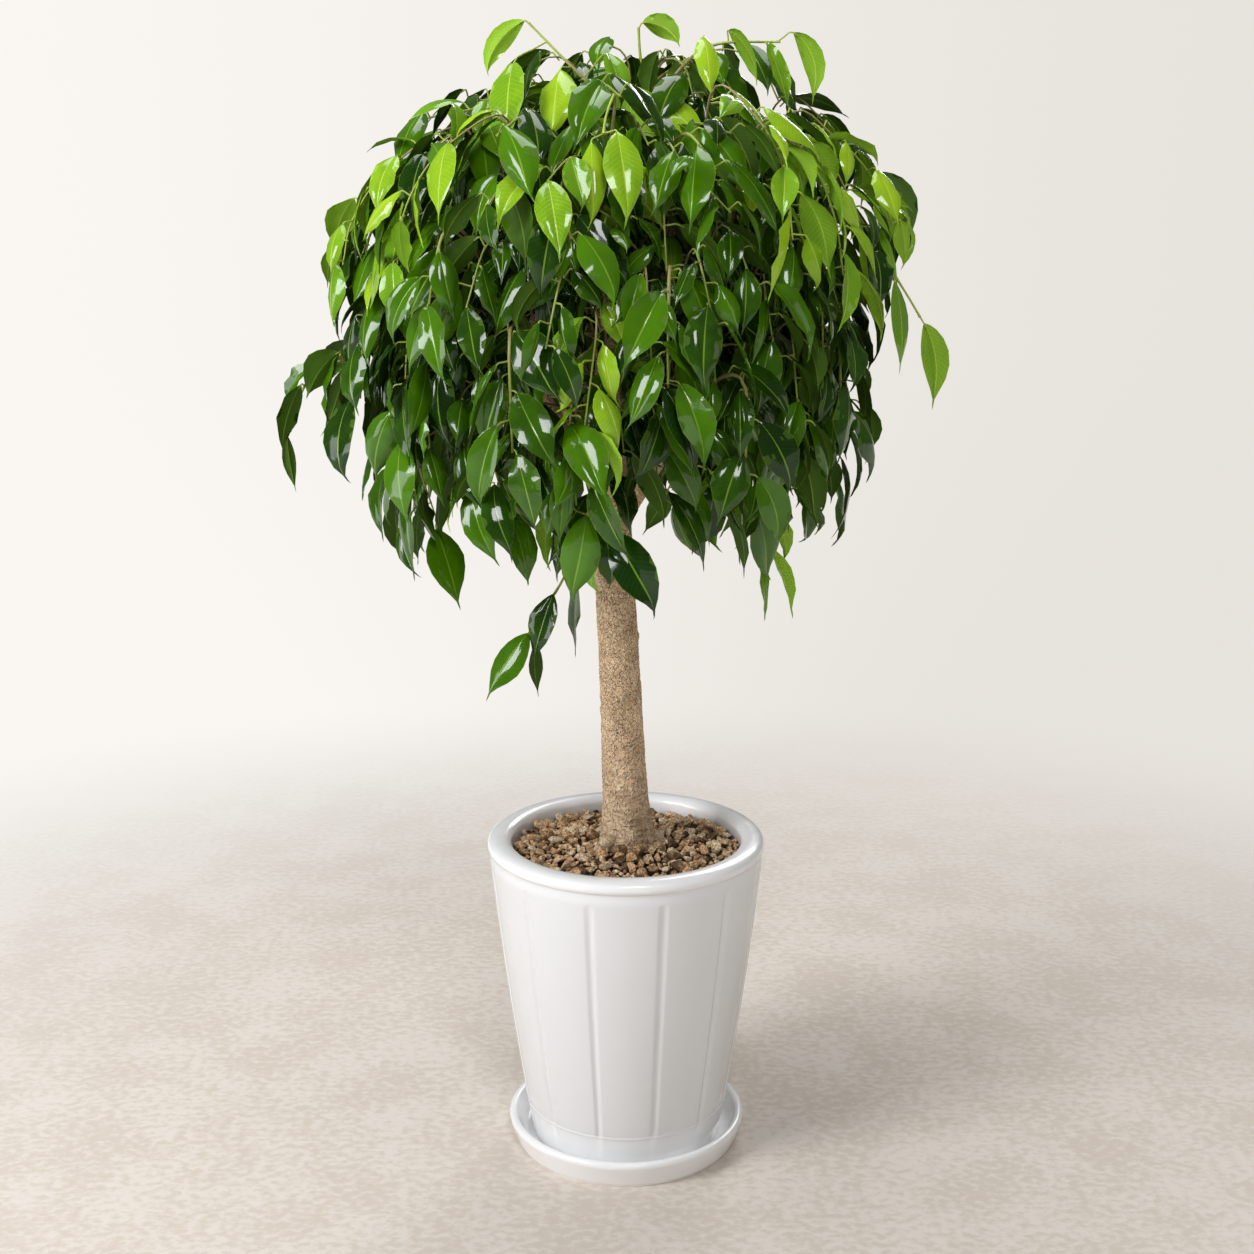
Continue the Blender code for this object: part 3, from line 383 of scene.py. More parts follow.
LUMP_SCALES = (1.9, 4.6)
LUMP_ROUGHNESS = 0.09
LUMP_WIDTHS = (0.6, 1.0)
LUMP_HEIGHTS = (0.5, 0.9)
LUMP_TILT = 0.6
LUMP_TURN = 6.3
LUMP_LIFTS = (-0.15, 0.45)

# Bark. Swells, worms and wrinkles each have their size and their depth.
BARK_SIDES = 76
BARK_STEP = 0.0023
LIMB_FINE_SIDES = 14
LIMB_STEP = 0.006
LIMB_ROUGHNESS = 0.15
LIMB_LUMPS = 0.009
SWELLS = (0.030, 0.0009)
WORMS = (0.0075, 0.0011)
WORM_WIDTH = 0.3
WRINKLES = (0.0046, 0.00045)
WRINKLES_TOP_Z = 0.44
WRINKLES_FADE = 0.06
WRINKLE_SWAY = 6
WRINKLE_SWAY_SIZE = 0.014
SCARS = 16
SCAR_SIZE = 0.0055
SCAR_RISE = 0.0020
SCAR_HEIGHTS = (0.37, 0.74)
SCAR_SIZES = (0.5, 1.2)
SCAR_REACH = 3
SCAR_SQUASH = 1.6
SCAR_DIMPLE = 0.8
SURFACE_ROOTS = (
    ((-0.008, -0.012, 0.366), (-0.021, -0.022, 0.353), (-0.031, -0.029, 0.344), (-0.040, -0.035, 0.333)),
    ((0.012, 0.004, 0.368), (0.027, 0.004, 0.353), (0.038, 0.003, 0.345), (0.052, 0.002, 0.333)),
    ((-0.010, 0.012, 0.366), (-0.023, 0.022, 0.351), (-0.033, 0.031, 0.343), (-0.046, 0.040, 0.332)),
)
SURFACE_ROOT_RADII = (0.0090, 0.0074, 0.0060, 0.0036)

# Finishes. Colours are linear. A noise has its features a metre, its detail, and any stretch. A ramp has the
# two heights it runs between, and what it gives at each where that isn't 0 and 1. Depths are in metres. Where
# a share has two values, the second is added. A gloss is a roughness and how strongly the side veins show.
VEIN_SLANT = 0.13
VEIN_COUNT = 19
VEIN_CREST = (0.6, 1.0)
VEIN_DEPTH = 0.0005
MIDRIB_SHARES = (0.2, 1.0, 0.038, 0.0988)
MIDRIB_EDGE = (0.55, 1.0, 1.0, 0.0)
MIDRIB_STRENGTH = 0.55
MARGIN = (0.955, 1.0)
MARGIN_STRENGTH = 0.35
TINT_SHARE = (0.85, -0.25)
NOISE_SPAN = (0.3, 0.7)
LEAF_MOTTLE = (55.0, 3.0)
LEAF_MOTTLE_SHARE = 0.55
LEAF_RIPPLE = (42.0, 1.0)
LEAF_RIPPLE_DEPTH = 0.0012
LEAF_SMEAR = (80.0, 2.0)
LEAF_SMEAR_REACH = (0.03, 0.05)
LEAF_GLOSS = (0.13, 0.025)
YOUNG_GLOSS = (0.16, 0.12)
UPPER_SHINE = {"Coat_Weight": 0.6, "Coat_Roughness": 0.05, "Specular_IOR_Level": 0.12}
UNDER_SHINE = {"Specular_IOR_Level": 0.15}
UNDER_ROUGHNESS = 0.55
UNDER_VEINS = 1.5
UNDER_LIGHT_SHARE = 1.35
LEAF_DARK = (0.0060, 0.030, 0.0006)
LEAF_LIGHT = (0.062, 0.180, 0.0012)
LEAF_VEIN = (0.250, 0.410, 0.045)
LEAF_UNDER = (0.044, 0.098, 0.007)
YOUNG_DARK = (0.120, 0.290, 0.006)
YOUNG_LIGHT = (0.320, 0.520, 0.012)
YOUNG_VEIN = (0.560, 0.720, 0.120)
YOUNG_UNDER = (0.200, 0.380, 0.020)
# Painted shade: leaves deep in the crown are painted darker, as the shade among the leaves would make them.
# A leaf deep in the crown is darker: shares of the crown's radius, and what its tint is multiplied by there.
DEEP_SHADE_SHARES = (0.55, 0.95)
DEEP_SHADE_TINTS = (0.15, 1.05)
TWIG_DARK = (0.160, 0.095, 0.050)
TWIG_TAN = (0.420, 0.290, 0.160)
STALK_GREEN = (0.430, 0.500, 0.090)
STALK_SHADE = 0.8
STALK_GREENS = (0.45, 0.9)
STALK_GRAIN = (400.0, 2.0)
STALK_DEPTH = 0.0002
GRAIN_SHARE = 0.3
GLAZE_TONE = (0.820, 0.826, 0.834)
# Painted light: a lighter glaze for the saucer and for the pot's rim and foot, and where on the pot it starts.
PAINTED_LIGHT_GLAZE = (0.950, 0.950, 0.950)
LIT_RIM_HEIGHTS = (0.338, 0.352)
LIT_FOOT_HEIGHTS = (0.030, 0.060, 1.0, 0.0)
GLAZE_CLOUD = (9.0, 2.0)
GLAZE_CLOUD_SHARE = 0.97
GLAZE_SMEAR = (35.0, 2.0)
GLAZE_ROUGHNESS = (0.16, 0.24)
GLAZE_RIPPLE = (45.0, 2.0)
GLAZE_RIPPLE_DEPTH = 0.0004
GLAZE_GRAIN = (420.0, 1.0)
GLAZE_GRAIN_DEPTH = 0.00002
GLAZE_COAT = {"Coat_Weight": 0.4, "Coat_Roughness": 0.09}
SPECK_TONE = (0.45, 0.44, 0.42)
SPECK_SCALE = 90.0
SPECK_EDGE = (0.02, 0.05, 1.0, 0.0)
SPECK_STRENGTH = 0.12
MIX_DARK = (0.045, 0.025, 0.012)
MIX_BROWN = (0.810, 0.505, 0.262)
MIX_TAN = (1.0, 0.800, 0.540)
MIX_BROWNS = (0.15, 0.60)
MIX_TANS = (0.60, 1.0)
MIX_COARSE = (120.0, 3.0)
MIX_COARSE_SHARE = 0.5
MIX_TINT_SHARE = 0.7
MIX_FINE = (420.0, 4.0)
MIX_FINE_DARK = (0.35, 0.62, 0.6, 0.0)
MIX_FINE_DEPTH = 0.0012
# Painted shade: the lumps are darkened low down, in the gaps between them.
MIX_GAPS_PAINTED_SHADE = (0.2, 0.70, 0.85, 0.0)
MIX_PIT_SCALE = 650.0
MIX_PIT_EDGE = (0.1, 0.55)
MIX_PIT_DEPTH = 0.0008
PITS_DARK = (0.0, 1.0, 0.45, 0.0)
BARK_DARK = (0.290, 0.175, 0.092)
BARK_TAN = (0.815, 0.585, 0.362)
BARK_PALE = (0.960, 0.760, 0.530)
BARK_TANS = (0.25, 0.75)
BARK_CLOUD = (52.0, 3.0)
BARK_CLOUD_SHARE = 0.6
BARK_FINE = (420.0, 3.0)
BARK_FINE_SHARE = (0.8, -0.16)
BARK_WINDING = (150.0, 1.5, (1.0, 1.0, 0.8))
LINE_EDGE = (0.0, 0.07, 1.0, 0.0)
LINE_STRENGTH = 0.55
BARK_ACROSS = (210.0, 2.0, (0.35, 0.35, 1.5))
ACROSS_HEIGHTS = (0.36, 0.50, 1.0, 0.15)
ACROSS_PALE = (0.3, 0.6, 0.0, 0.4)
BARK_PIT_SCALE = 210.0
BARK_PIT_EDGE = (0.05, 0.22)
BARK_FOOT_DARK = (0.35, 0.45, 0.22, 0.0)
BARK_DEPTHS = (0.0017, 0.0022, 0.0010, 0.0010)
FLOOR_DARK = (0.660, 0.580, 0.496)
FLOOR_LIGHT = (0.755, 0.694, 0.624)
FLOOR_TONES = (0.41, 0.59)
FLOOR_MOTTLE = (9.0, 6.0)
FLOOR_GRAIN = (115.0, 5.0, (0.75, 1.0, 1.0))
FLOOR_GRAIN_SHARE = 0.6
FLOOR_DEPTH = 0.0006
# The backdrop's tone on its left, the painted shade it darkens to on its right, and where it turns.
BACKDROP_LIGHT = (0.950, 0.925, 0.892)
BACKDROP_PAINTED_SHADE = (0.800, 0.765, 0.720)
BACKDROP_TURN = (-0.40, 0.40)
WORLD_TONE = (1.0, 0.98, 0.96)

# The stage and its lights. A light has its place, its aim, its size, its power and its tone.
STAGE_RADIUS = 14.0
FLOOR_FADE = (0.45, 1.9)
WORLD_STRENGTH = 0.13
LIGHTS = (
    ("key", (-2.3, -1.5, 2.3), (0.0, 0.0, 0.75), (1.05, 1.3), 62.0, (0.985, 0.995, 1.02)),
    ("side", (-2.5, -0.9, 1.0), (0.0, 0.0, 0.45), (0.9, 1.2), 15.0, (0.985, 0.995, 1.02)),
    ("front", (0.4, -2.7, 3.0), (0.0, 0.0, 0.6), (0.8, 0.9), 36.0, (0.985, 0.995, 1.02)),
    ("fill", (2.6, -1.2, 1.7), (0.0, 0.0, 0.7), (0.8, 1.2), 3.6, (1.0, 0.95, 0.88)),
    ("top", (-0.2, 0.2, 3.0), (0.0, 0.0, 0.8), (1.2, 1.2), 26.0, (1.0, 1.0, 1.0)),
    ("back", (0.8, 2.6, 2.2), (0.0, 0.0, 0.8), (1.2, 1.2), 24.0, (1.0, 1.0, 1.0)),
)

Leaf = namedtuple("Leaf", "root neck aim face length width bend twist hook")
Placed = namedtuple("Placed", "centre reach tree")
Style = namedtuple("Style", "slim fold bulge wave beats phases turn curl dip")


@dataclass
class Shoot:
    """A twig with its leaves. leafy is the share of the twig, from its root, that random leaves grow from."""

    name: str
    young: bool
    path: list
    leafy: float = 1.0
    leaves: list = field(default_factory=list)
    styles: list = field(default_factory=list)
    shape: Placed = None
    carrier: int = 0


class Crowd:
    """The shapes that are there already, which whatever grows next has to be clear of."""

    def __init__(self):
        self.shapes = []
        self.centres = np.zeros((0, 3))
        self.reaches = np.zeros(0)

    def add(self, *shapes):
        self.shapes += shapes
        self.centres = np.vstack([self.centres, *(np.array(shape.centre) for shape in shapes)])
        self.reaches = np.append(self.reaches, [shape.reach for shape in shapes])

    def is_clear(self, shape, but=None):
        gaps = np.linalg.norm(self.centres - np.array(shape.centre), axis=1)
        for index in np.nonzero(gaps < self.reaches + shape.reach)[0]:
            other = self.shapes[index]
            if other is not but and shape.tree.overlap(other.tree):
                return False
        return True


def collection(name):
    made = bpy.data.collections.new(name)
    bpy.context.scene.collection.children.link(made)
    return made


def weld_points(mesh, distance, outward=False):
    """Makes points of a mesh that share a place one. outward also turns every face to look out."""
    cage = bmesh.new()
    cage.from_mesh(mesh)
    bmesh.ops.remove_doubles(cage, verts=cage.verts, dist=distance)
    if outward:
        bmesh.ops.recalc_face_normals(cage, faces=cage.faces)
    cage.to_mesh(mesh)
    cage.free()


def as_mesh(obj, home, weld=WELD):
    """The evaluated object as a plain mesh object of the same name. The old one is removed."""
    bpy.context.view_layer.update()
    graph = bpy.context.evaluated_depsgraph_get()
    mesh = bpy.data.meshes.new_from_object(obj.evaluated_get(graph))
    name = obj.name
    bpy.data.objects.remove(obj)
    made = bpy.data.objects.new(name, mesh)
    home.objects.link(made)
    if weld:
        weld_points(mesh, weld, outward=True)
    return made


def tube(name, path, radii, sides, home):
    """A round tube along a path of points, with a radius at each, closed at both ends."""
    curve = bpy.data.curves.new(name, "CURVE")
    curve.dimensions = "3D"
    curve.bevel_depth = 1.0
    curve.bevel_resolution = sides // 2 - 2
    curve.use_fill_caps = True
    spline = curve.splines.new("POLY")
    spline.points.add(len(path) - 1)
    for point, place, radius in zip(spline.points, path, radii):
        point.co = (*place, 1.0)
        point.radius = radius
    obj = bpy.data.objects.new(name, curve)
    home.objects.link(obj)
    return as_mesh(obj, home)


def limb_path(index):
    """The points and radii of one limb, which leaves the trunk at its own height and sways as it rises."""
    root_z = LIMB_FIRST_Z + LIMB_STEP_Z * LIMB_ORDER[index]
    root = point_on(TRUNK, root_z)
    azimuth = LIMB_FIRST_AZIMUTH + index * 2 * math.pi / LIMBS
    path = []
    for step, (out, up, _) in enumerate(LIMB):
        sway = azimuth + LIMB_SWAY * math.sin(LIMB_SWAY_STEP * step + index)
        path.append(root + Vector((out * math.cos(sway), out * math.sin(sway), up)))
    return path, [radius for _, _, radius in LIMB]


def point_on(path, z):
    """The point of a rising path at height z."""
    for first, second in zip(path, path[1:]):
        if first[2] <= z <= second[2]:
            share = (z - first[2]) / (second[2] - first[2])
            return Vector(first[:3]).lerp(Vector(second[:3]), share)
    return Vector(path[-1][:3])


def flare_share(z):
    """How strongly the root lobes show at height z, from 0 to 1."""
    low, peak, high = ROOT_FLARE_Z
    if z <= low or z >= high:
        return 0.0
    return (z - low) / (peak - low) if z < peak else (high - z) / (high - peak)


def bark_solid():
    """The trunk and limbs as the solid has them, for the twigs to root on. Nothing of it is kept."""
    home = collection("bark")
    obj = tube("bark", [p[:3] for p in TRUNK], [p[3] for p in TRUNK], TRUNK_SIDES, home)
    for vertex in obj.data.vertices:
        angle = math.atan2(vertex.co.y, vertex.co.x)
        lobe = 1 + ROOT_LOBE_SHARE * flare_share(vertex.co.z) * math.cos(ROOT_LOBES * angle + ROOT_LOBE_TURN)
        vertex.co.x *= lobe
        vertex.co.y *= lobe
    limbs = collection("limbs")
    for index in range(LIMBS):
        path, radii = limb_path(index)
        tube(f"limb_{index + 1}", path, radii, LIMB_SIDES, limbs)
    obj = joined(obj, limbs, home)
    shape = shape_of_object(obj)
    bpy.data.objects.remove(obj)
    bpy.data.collections.remove(home)
    return shape


def joined(obj, extras, home):
    """obj in one Boolean union with every object of a collection, which is then removed."""
    union = obj.modifiers.new("grown together", "BOOLEAN")
    union.operation = "UNION"
    union.operand_type = "COLLECTION"
    union.collection = extras
    union.solver = "EXACT"
    made = as_mesh(obj, home, 0)
    for extra in list(extras.objects):
        bpy.data.objects.remove(extra)
    bpy.data.collections.remove(extras)
    return made


def shell_point(azimuth, polar, share=1.0):
    """A point of the crown's shell. polar is the angle from straight up."""
    out = SHELL_RADIUS * abs(math.sin(polar)) ** SHELL_SQUARENESS
    rise = SHELL_RISE if polar < math.pi / 2 else -SHELL_DROP
    up = rise * abs(math.cos(polar)) ** SHELL_SQUARENESS
    return SHELL_CENTRE + share * Vector((out * math.cos(azimuth), out * math.sin(azimuth), up))


def carriers():
    """The paths and radii that shoots grow from: the limbs, and last the leader above them."""
    made = [limb_path(index) for index in range(LIMBS)]
    leader = [p for p in TRUNK if p[2] >= LEADER_FROM_Z]
    made.append(([Vector(p[:3]) for p in leader], [p[3] for p in leader]))
    return made


CARRIERS = carriers()


def shoot_plan(count, polars, turned=0.0):
    """Where each shoot ends and what carries it: (azimuth, polar, carrier, share along the carrier)."""
    plan = []
    for index in range(count):
        share = (index + 0.5) / count
        top, low = math.cos(polars[0]), math.cos(polars[1])
        polar = math.acos(top + (low - top) * share)
        azimuth = (index * GOLDEN_ANGLE + turned) % (2 * math.pi)
        turn = (azimuth - LIMB_FIRST_AZIMUTH) / (2 * math.pi / LIMBS)
        carrier = LIMBS if polar < LEADER_POLAR else round(turn) % LIMBS
        plan.append([azimuth, polar, carrier, 0.0])
    for carrier in range(LIMBS + 1):
        own = sorted((s for s in plan if s[2] == carrier), key=lambda s: -s[1])
        first = LIMB_BARE_SHARE if carrier < LIMBS else LEADER_BARE_SHARE
        for rank, shoot in enumerate(own):
            shoot[3] = first + (LAST_KNOT_SHARE - first) * rank / max(1, len(own) - 1)
    return plan


def along(path, radii, share):
    """The point, direction and radius at a share of a polyline's length."""
    lengths = [(b - a).length for a, b in zip(path, path[1:])]
    left = share * sum(lengths)
    for index, length in enumerate(lengths):
        if left <= length or index == len(lengths) - 1:
            step = min(1.0, left / length)
            place = path[index].lerp(path[index + 1], step)
            radius = radii[index] + (radii[index + 1] - radii[index]) * step
            return place, (path[index + 1] - path[index]).normalized(), radius
        left -= length
    return None


def bezier(a, b, c, d, count):
    """Evenly spaced points of a cubic Bezier curve."""
    made = []
    for index in range(count):
        t = index / (count - 1)
        s = 1 - t
        made.append(a * s**3 + b * (3 * s * s * t) + c * (3 * s * t * t) + d * t**3)
    return made


def knot_on(carrier, share, towards, bark):
    """The two first points of a twig: square off its carrier's bark, on the side of a point, a gap away."""
    path, radii = CARRIERS[carrier]
    knot, direction, radius = along(path, radii, share)
    aim = towards - knot
    aim -= direction * aim.dot(direction)
    aim.normalize()
    place, normal, _, _ = bark.tree.ray_cast(knot + aim * (2 * radius), -aim)
    start = place + normal * SEAT_GAP
    return start, start + normal * KNOT_STRAIGHT


def twig_path(plan, bark, rng, spread, tips=TIP_SHARES, lift=CREST_LIFT):
    """The points of a shoot's twig: square out of its limb, over a crest, then trailing along the shell."""
    azimuth, polar, carrier, share = plan
    tip = shell_point(azimuth, polar, rng.uniform(*tips))
    crest = shell_point(azimuth, max(CREST_LEAST_POLAR, polar - CREST_POLAR), lift)
    crest += random_vector(rng) * spread
    start, straight = knot_on(carrier, share, crest, bark)
    aim = (straight - start).normalized()
    bend = straight + aim * (TWIG_STIFFNESS * (crest - straight).length) + UP * TWIG_RISE
    return [start] + bezier(straight, bend, crest, tip, TWIG_POINTS - 1)


def draw(*keys):
    """A stream of random numbers that belongs to one twig or leaf, and to one try at it."""
    return random.Random("-".join(str(key) for key in (RANDOM_SEED, *keys)))


def random_vector(rng):
    return Vector((rng.uniform(-1, 1), rng.uniform(-1, 1), rng.uniform(-1, 1)))


def blade_width(v):
    """Half width of a solid's blade at v, from 0 at its base to 1 at its tip, as a share of its greatest."""
    peak_at = BLADE_BASE_POWER / (BLADE_BASE_POWER + BLADE_TIP_POWER)
    peak = peak_at**BLADE_BASE_POWER * (1 - peak_at) ** BLADE_TIP_POWER
    body = min(1.0, max(0.0, v / BLADE_BODY))
    oval = body**BLADE_BASE_POWER * (1 - body) ** BLADE_TIP_POWER / peak
    return max(oval, DRIP_TIP_SHARE * (1 - v)) if v > peak_at else oval


def hung_leaf(root, neck, tip, width, face, bend, twist=0.0, hook=0.0):
    """A leaf from its root in the twig over its neck to its tip. face is about where its upper side looks."""
    chord = tip - neck
    length = chord.length * (bend / 2) / math.sin(bend / 2)
    chord.normalize()
    up = (face - chord * face.dot(chord)).normalized()
    aim = chord * math.cos(bend / 2) + up * math.sin(bend / 2)
    face = up * math.cos(bend / 2) - chord * math.sin(bend / 2)
    return Leaf(root, neck, aim, face, length, width, bend, twist, hook)


def blade_frame(leaf, v):
    """The midrib's point at v, and the blade's side and face directions there."""
    angle = leaf.bend * v
    reach = leaf.length / leaf.bend
    centre = leaf.neck + (leaf.aim * math.sin(angle) - leaf.face * (1 - math.cos(angle))) * reach
    run = leaf.aim * math.cos(angle) - leaf.face * math.sin(angle)
    face = leaf.face * math.cos(angle) + leaf.aim * math.sin(angle)
    side = run.cross(face)
    turn = Matrix.Rotation(leaf.twist * v, 3, run)
    hook = v * (1 - v) * leaf.hook * leaf.length
    return centre + side * hook, turn @ side, turn @ face


def neck_section(leaf, grow):
    """The mitred section where a solid's petiole bends over into its blade."""
    centre, side, face = blade_frame(leaf, 0.0)
    through = (leaf.neck - leaf.root).normalized() + leaf.aim
    through = (through - side * through.dot(side)).normalized()
    rise = through.cross(side)
    if rise.dot(face) < 0:
        rise.negate()
    half = side * (PETIOLE_RADIUS + grow)
    low = centre - rise * grow
    return (low - half, low + half, centre + rise * (PETIOLE_RIDGE + grow))


def blade_section(leaf, v, grow):
    """The section of a solid's blade at v: its two margins and its ridge."""
    centre, side, face = blade_frame(leaf, v)
    half = side * (leaf.width / 2 * blade_width(v) + grow)
    low = centre - face * grow
    return (low - half, low + half, centre + face * (LEAF_RIDGE + grow))


def solid_leaf(leaf, start=0.0, grow=0.0):
    """The shape of a leaf as the solids have it. Its petiole starts at a share of its length."""
    neck = neck_section(leaf, grow)
    back = (leaf.root - leaf.neck) * (1 - start)
    sections = [[corner + back for corner in neck], neck]
    sections += [blade_section(leaf, v, grow) for v in BLADE_STATIONS]
    points = [corner for section in sections for corner in section]
    tip = len(points)
    centre, _, face = blade_frame(leaf, 1.0)
    points.append(centre + face * (LEAF_RIDGE / 4))
    faces = [(0, 1, 2), (0, 2, 5, 3), (2, 1, 4, 5), (1, 0, 3, 4)]
    for index in range(1, len(sections) - 1):
        a, b, c = 3 * index, 3 * index + 1, 3 * index + 2
        d, e, f = a + 3, b + 3, c + 3
        faces += [(a, c, d), (c, f, d), (c, b, f), (b, e, f), (a, d, b), (d, e, b)]
    a = tip - 3
    faces += [(a, a + 2, tip), (a + 2, a + 1, tip), (a + 1, a, tip)]
    return shape_of(points, faces)


def trial_leaf(place, run, side_sign, rng, trial, lengths=LEAF_LENGTH_SHARES, loose=0.0):
    """One way for a leaf to hang from a twig point. Later trials stray further and are a little shorter."""
    out = place - SHELL_CENTRE
    out = (out - run * out.dot(run)).normalized()
    sideways = run.cross(out).normalized() * side_sign
    stray = random_vector(rng) * (LEAF_STRAY + LEAF_STRAY_STEP * trial)
    chord = mixed(HANG_SHARES, sideways, run, out, UP, stray).normalized()
    stalk = mixed(STALK_SHARES, sideways, run, out, UP, stray).normalized()
    face = mixed(FACE_SHARES, sideways * rng.random(), run, out, UP, stray)
    length = LEAF_LENGTH * (1 - LEAF_SHRINK_STEP * trial) * rng.uniform(*lengths)
    width = length * LEAF_WIDTH_SHARE * rng.uniform(*LEAF_WIDTH_SHARES)
    neck = place + stalk * rng.uniform(*PETIOLE_LENGTHS)
    bend = rng.uniform(*LEAF_BENDS)
    twist = rng.uniform(-LEAF_TWIST, LEAF_TWIST)
    hook = rng.uniform(-LEAF_HOOK, LEAF_HOOK)
    if loose:
        face += random_vector(rng) * loose
    return hung_leaf(place, neck, neck + chord * length, width, face, bend, twist, hook)


def mixed(shares, *directions):
    """The sum of some directions, each by its share."""
    return sum((share * way for share, way in zip(shares, directions)), Vector())


def drawn_leaf(path, base, tip, width, turn, bend):
    """A leaf of one of the drawn shoots, its petiole rooted at the nearest point of the twig."""
    neck, tip = metres(base), metres(tip)
    root = min((nearest_on(a, b, neck) for a, b in zip(path, path[1:])), key=lambda p: (p - neck).length)
    out = (neck - SHELL_CENTRE).normalized()
    out.z = max(out.z, 0.0)
    face = Matrix.Rotation(math.radians(turn), 3, (tip - neck).normalized()) @ (out + DRAWN_FACE)
    return hung_leaf(root, neck, tip, width / 1000, face, bend)


def nearest_on(a, b, place):
    """The point of a segment that is nearest to a place, kept a little inside the segment's ends."""
    share = (place - a).dot(b - a) / (b - a).length_squared
    return a.lerp(b, min(1 - SEGMENT_END, max(SEGMENT_END, share)))


def shape_of(points, faces):
    """A shape as something that other shapes can be tested against."""
    points = np.array(points)
    low, high = points.min(0), points.max(0)
    reach = float(np.linalg.norm(high - low)) / 2
    return Placed(Vector((low + high) / 2), reach, BVHTree.FromPolygons(points.tolist(), faces))


def shape_of_object(obj):
    points = [v.co.copy() for v in obj.data.vertices]
    return shape_of(points, [tuple(polygon.vertices) for polygon in obj.data.polygons])


def solid_twig(path):
    """The shape of a twig as the solids have it."""
    count = len(path)
    radii = [TWIG_RADIUS + (TWIG_TIP_RADIUS - TWIG_RADIUS) * i / count for i in range(count)]
    obj = tube("twig", path, radii, TWIG_SIDES, bpy.context.scene.collection)
    shape = shape_of_object(obj)
    bpy.data.objects.remove(obj)
    return shape


def metres(point):
    return Vector([x / 1000 for x in point])


def drawn_path(carrier, share, points, bark):
    """The points of a drawn shoot's twig, rooted on what carries it."""
    points = [metres(point) for point in points]
    return [*knot_on(carrier, share, points[0], bark), *points]


def drawn_shoots(bark):
    """The shoots that stand out from the crown."""
    made = []
    for name, young, carrier, share, leafy, points, leaves in OWN_SHOOTS:
        path = drawn_path(carrier, share, points, bark)
        shoot = Shoot(name, young, path, leafy)
        shoot.shape = solid_twig(path)
        shoot.leaves = [drawn_leaf(path, *leaf) for leaf in leaves]
        made.append(shoot)
    return made


def plain_shoots(bark, crowd):
    """The shoots of the solids that fill the crown. Each is nudged until it is clear of all before it."""
    made = []
    for index, plan in enumerate(shoot_plan(SHOOTS, SHOOT_POLARS)):
        for trial in range(TWIG_TRIES):
            rng = draw("twig", index, trial)
            path = twig_path(plan, bark, rng, TWIG_NUDGE * trial)
            shape = solid_twig(path)
            if crowd.is_clear(shape):
                crowd.add(shape)
                young = index % YOUNG_EVERY == FIRST_YOUNG
                made.append(Shoot(f"shoot_{index + 1:02d}", young, path, shape=shape))
                break
    return made


def leaf_room(shoot, count, spacing):
    """The places on a twig where random leaves grow, from its tip back: a point and the twig's direction."""
    path = shoot.path
    total = sum((b - a).length for a, b in zip(path, path[1:]))
    room = []
    for rank in range(count):
        share = shoot.leafy * LAST_LEAF_SHARE - rank * spacing / total
        if share > TWIG_BARE_SHARE:
            room.append(along(path, [0.0] * len(path), share)[:2])
    return room


def leaf_turns(shoots, count, spacing):
    """Leaves that may grow, one of each shoot in turn: the shoot, its rank, and its place, run and side."""
    rooms = [leaf_room(shoot, count, spacing) for shoot in shoots]
    for rank in range(count):
        for shoot, room in zip(shoots, rooms):
            if rank < len(room):
                yield shoot, rank, (*room[rank], 1 if rank % 2 else -1)


def grow_leaves(shoots, crowd):
    """Random leaves for the solids' shoots, each bent clear of all that is there."""
    for shoot, rank, spot in leaf_turns(shoots, LEAVES_PER_SHOOT, LEAF_SPACING):
        for trial in range(LEAF_TRIES):
            leaf = trial_leaf(*spot, draw("leaf", shoot.name, rank, trial), trial)
            blade = solid_leaf(leaf, PETIOLE_FREE, LEAF_CLEARANCE)
            whole = solid_leaf(leaf, PETIOLE_HIDDEN, LEAF_CLEARANCE)
            if not blade.tree.overlap(shoot.shape.tree) and crowd.is_clear(whole, shoot.shape):
                shoot.leaves.append(leaf)
                crowd.add(solid_leaf(leaf, PETIOLE_HIDDEN))
                break


def solid_shoots(bark):
    """Every leafy shoot that has a solid, grown by the solids' own rule."""
    crowd = Crowd()
    crowd.add(bark)
    grown = drawn_shoots(bark)
    for shoot in grown:
        crowd.add(shoot.shape, *(solid_leaf(leaf, PETIOLE_HIDDEN) for leaf in shoot.leaves))
    grown += plain_shoots(bark, crowd)
    grow_leaves(grown, crowd)
    return grown


def before_trunk(place):
    """Whether a place is low in front of the trunk, where the crown leaves the bark bare."""
    return abs(place.x) < OPEN_HALF_WIDTH and place.y < OPEN_FRONT_Y and place.z < OPEN_TOP_Z


def thin_twig(path):
    """The shape of a filling shoot's twig."""
    return shape_of(*tube_mesh(path, [FILL_TWIG_RADIUS] * len(path), TWIG_SIDES))


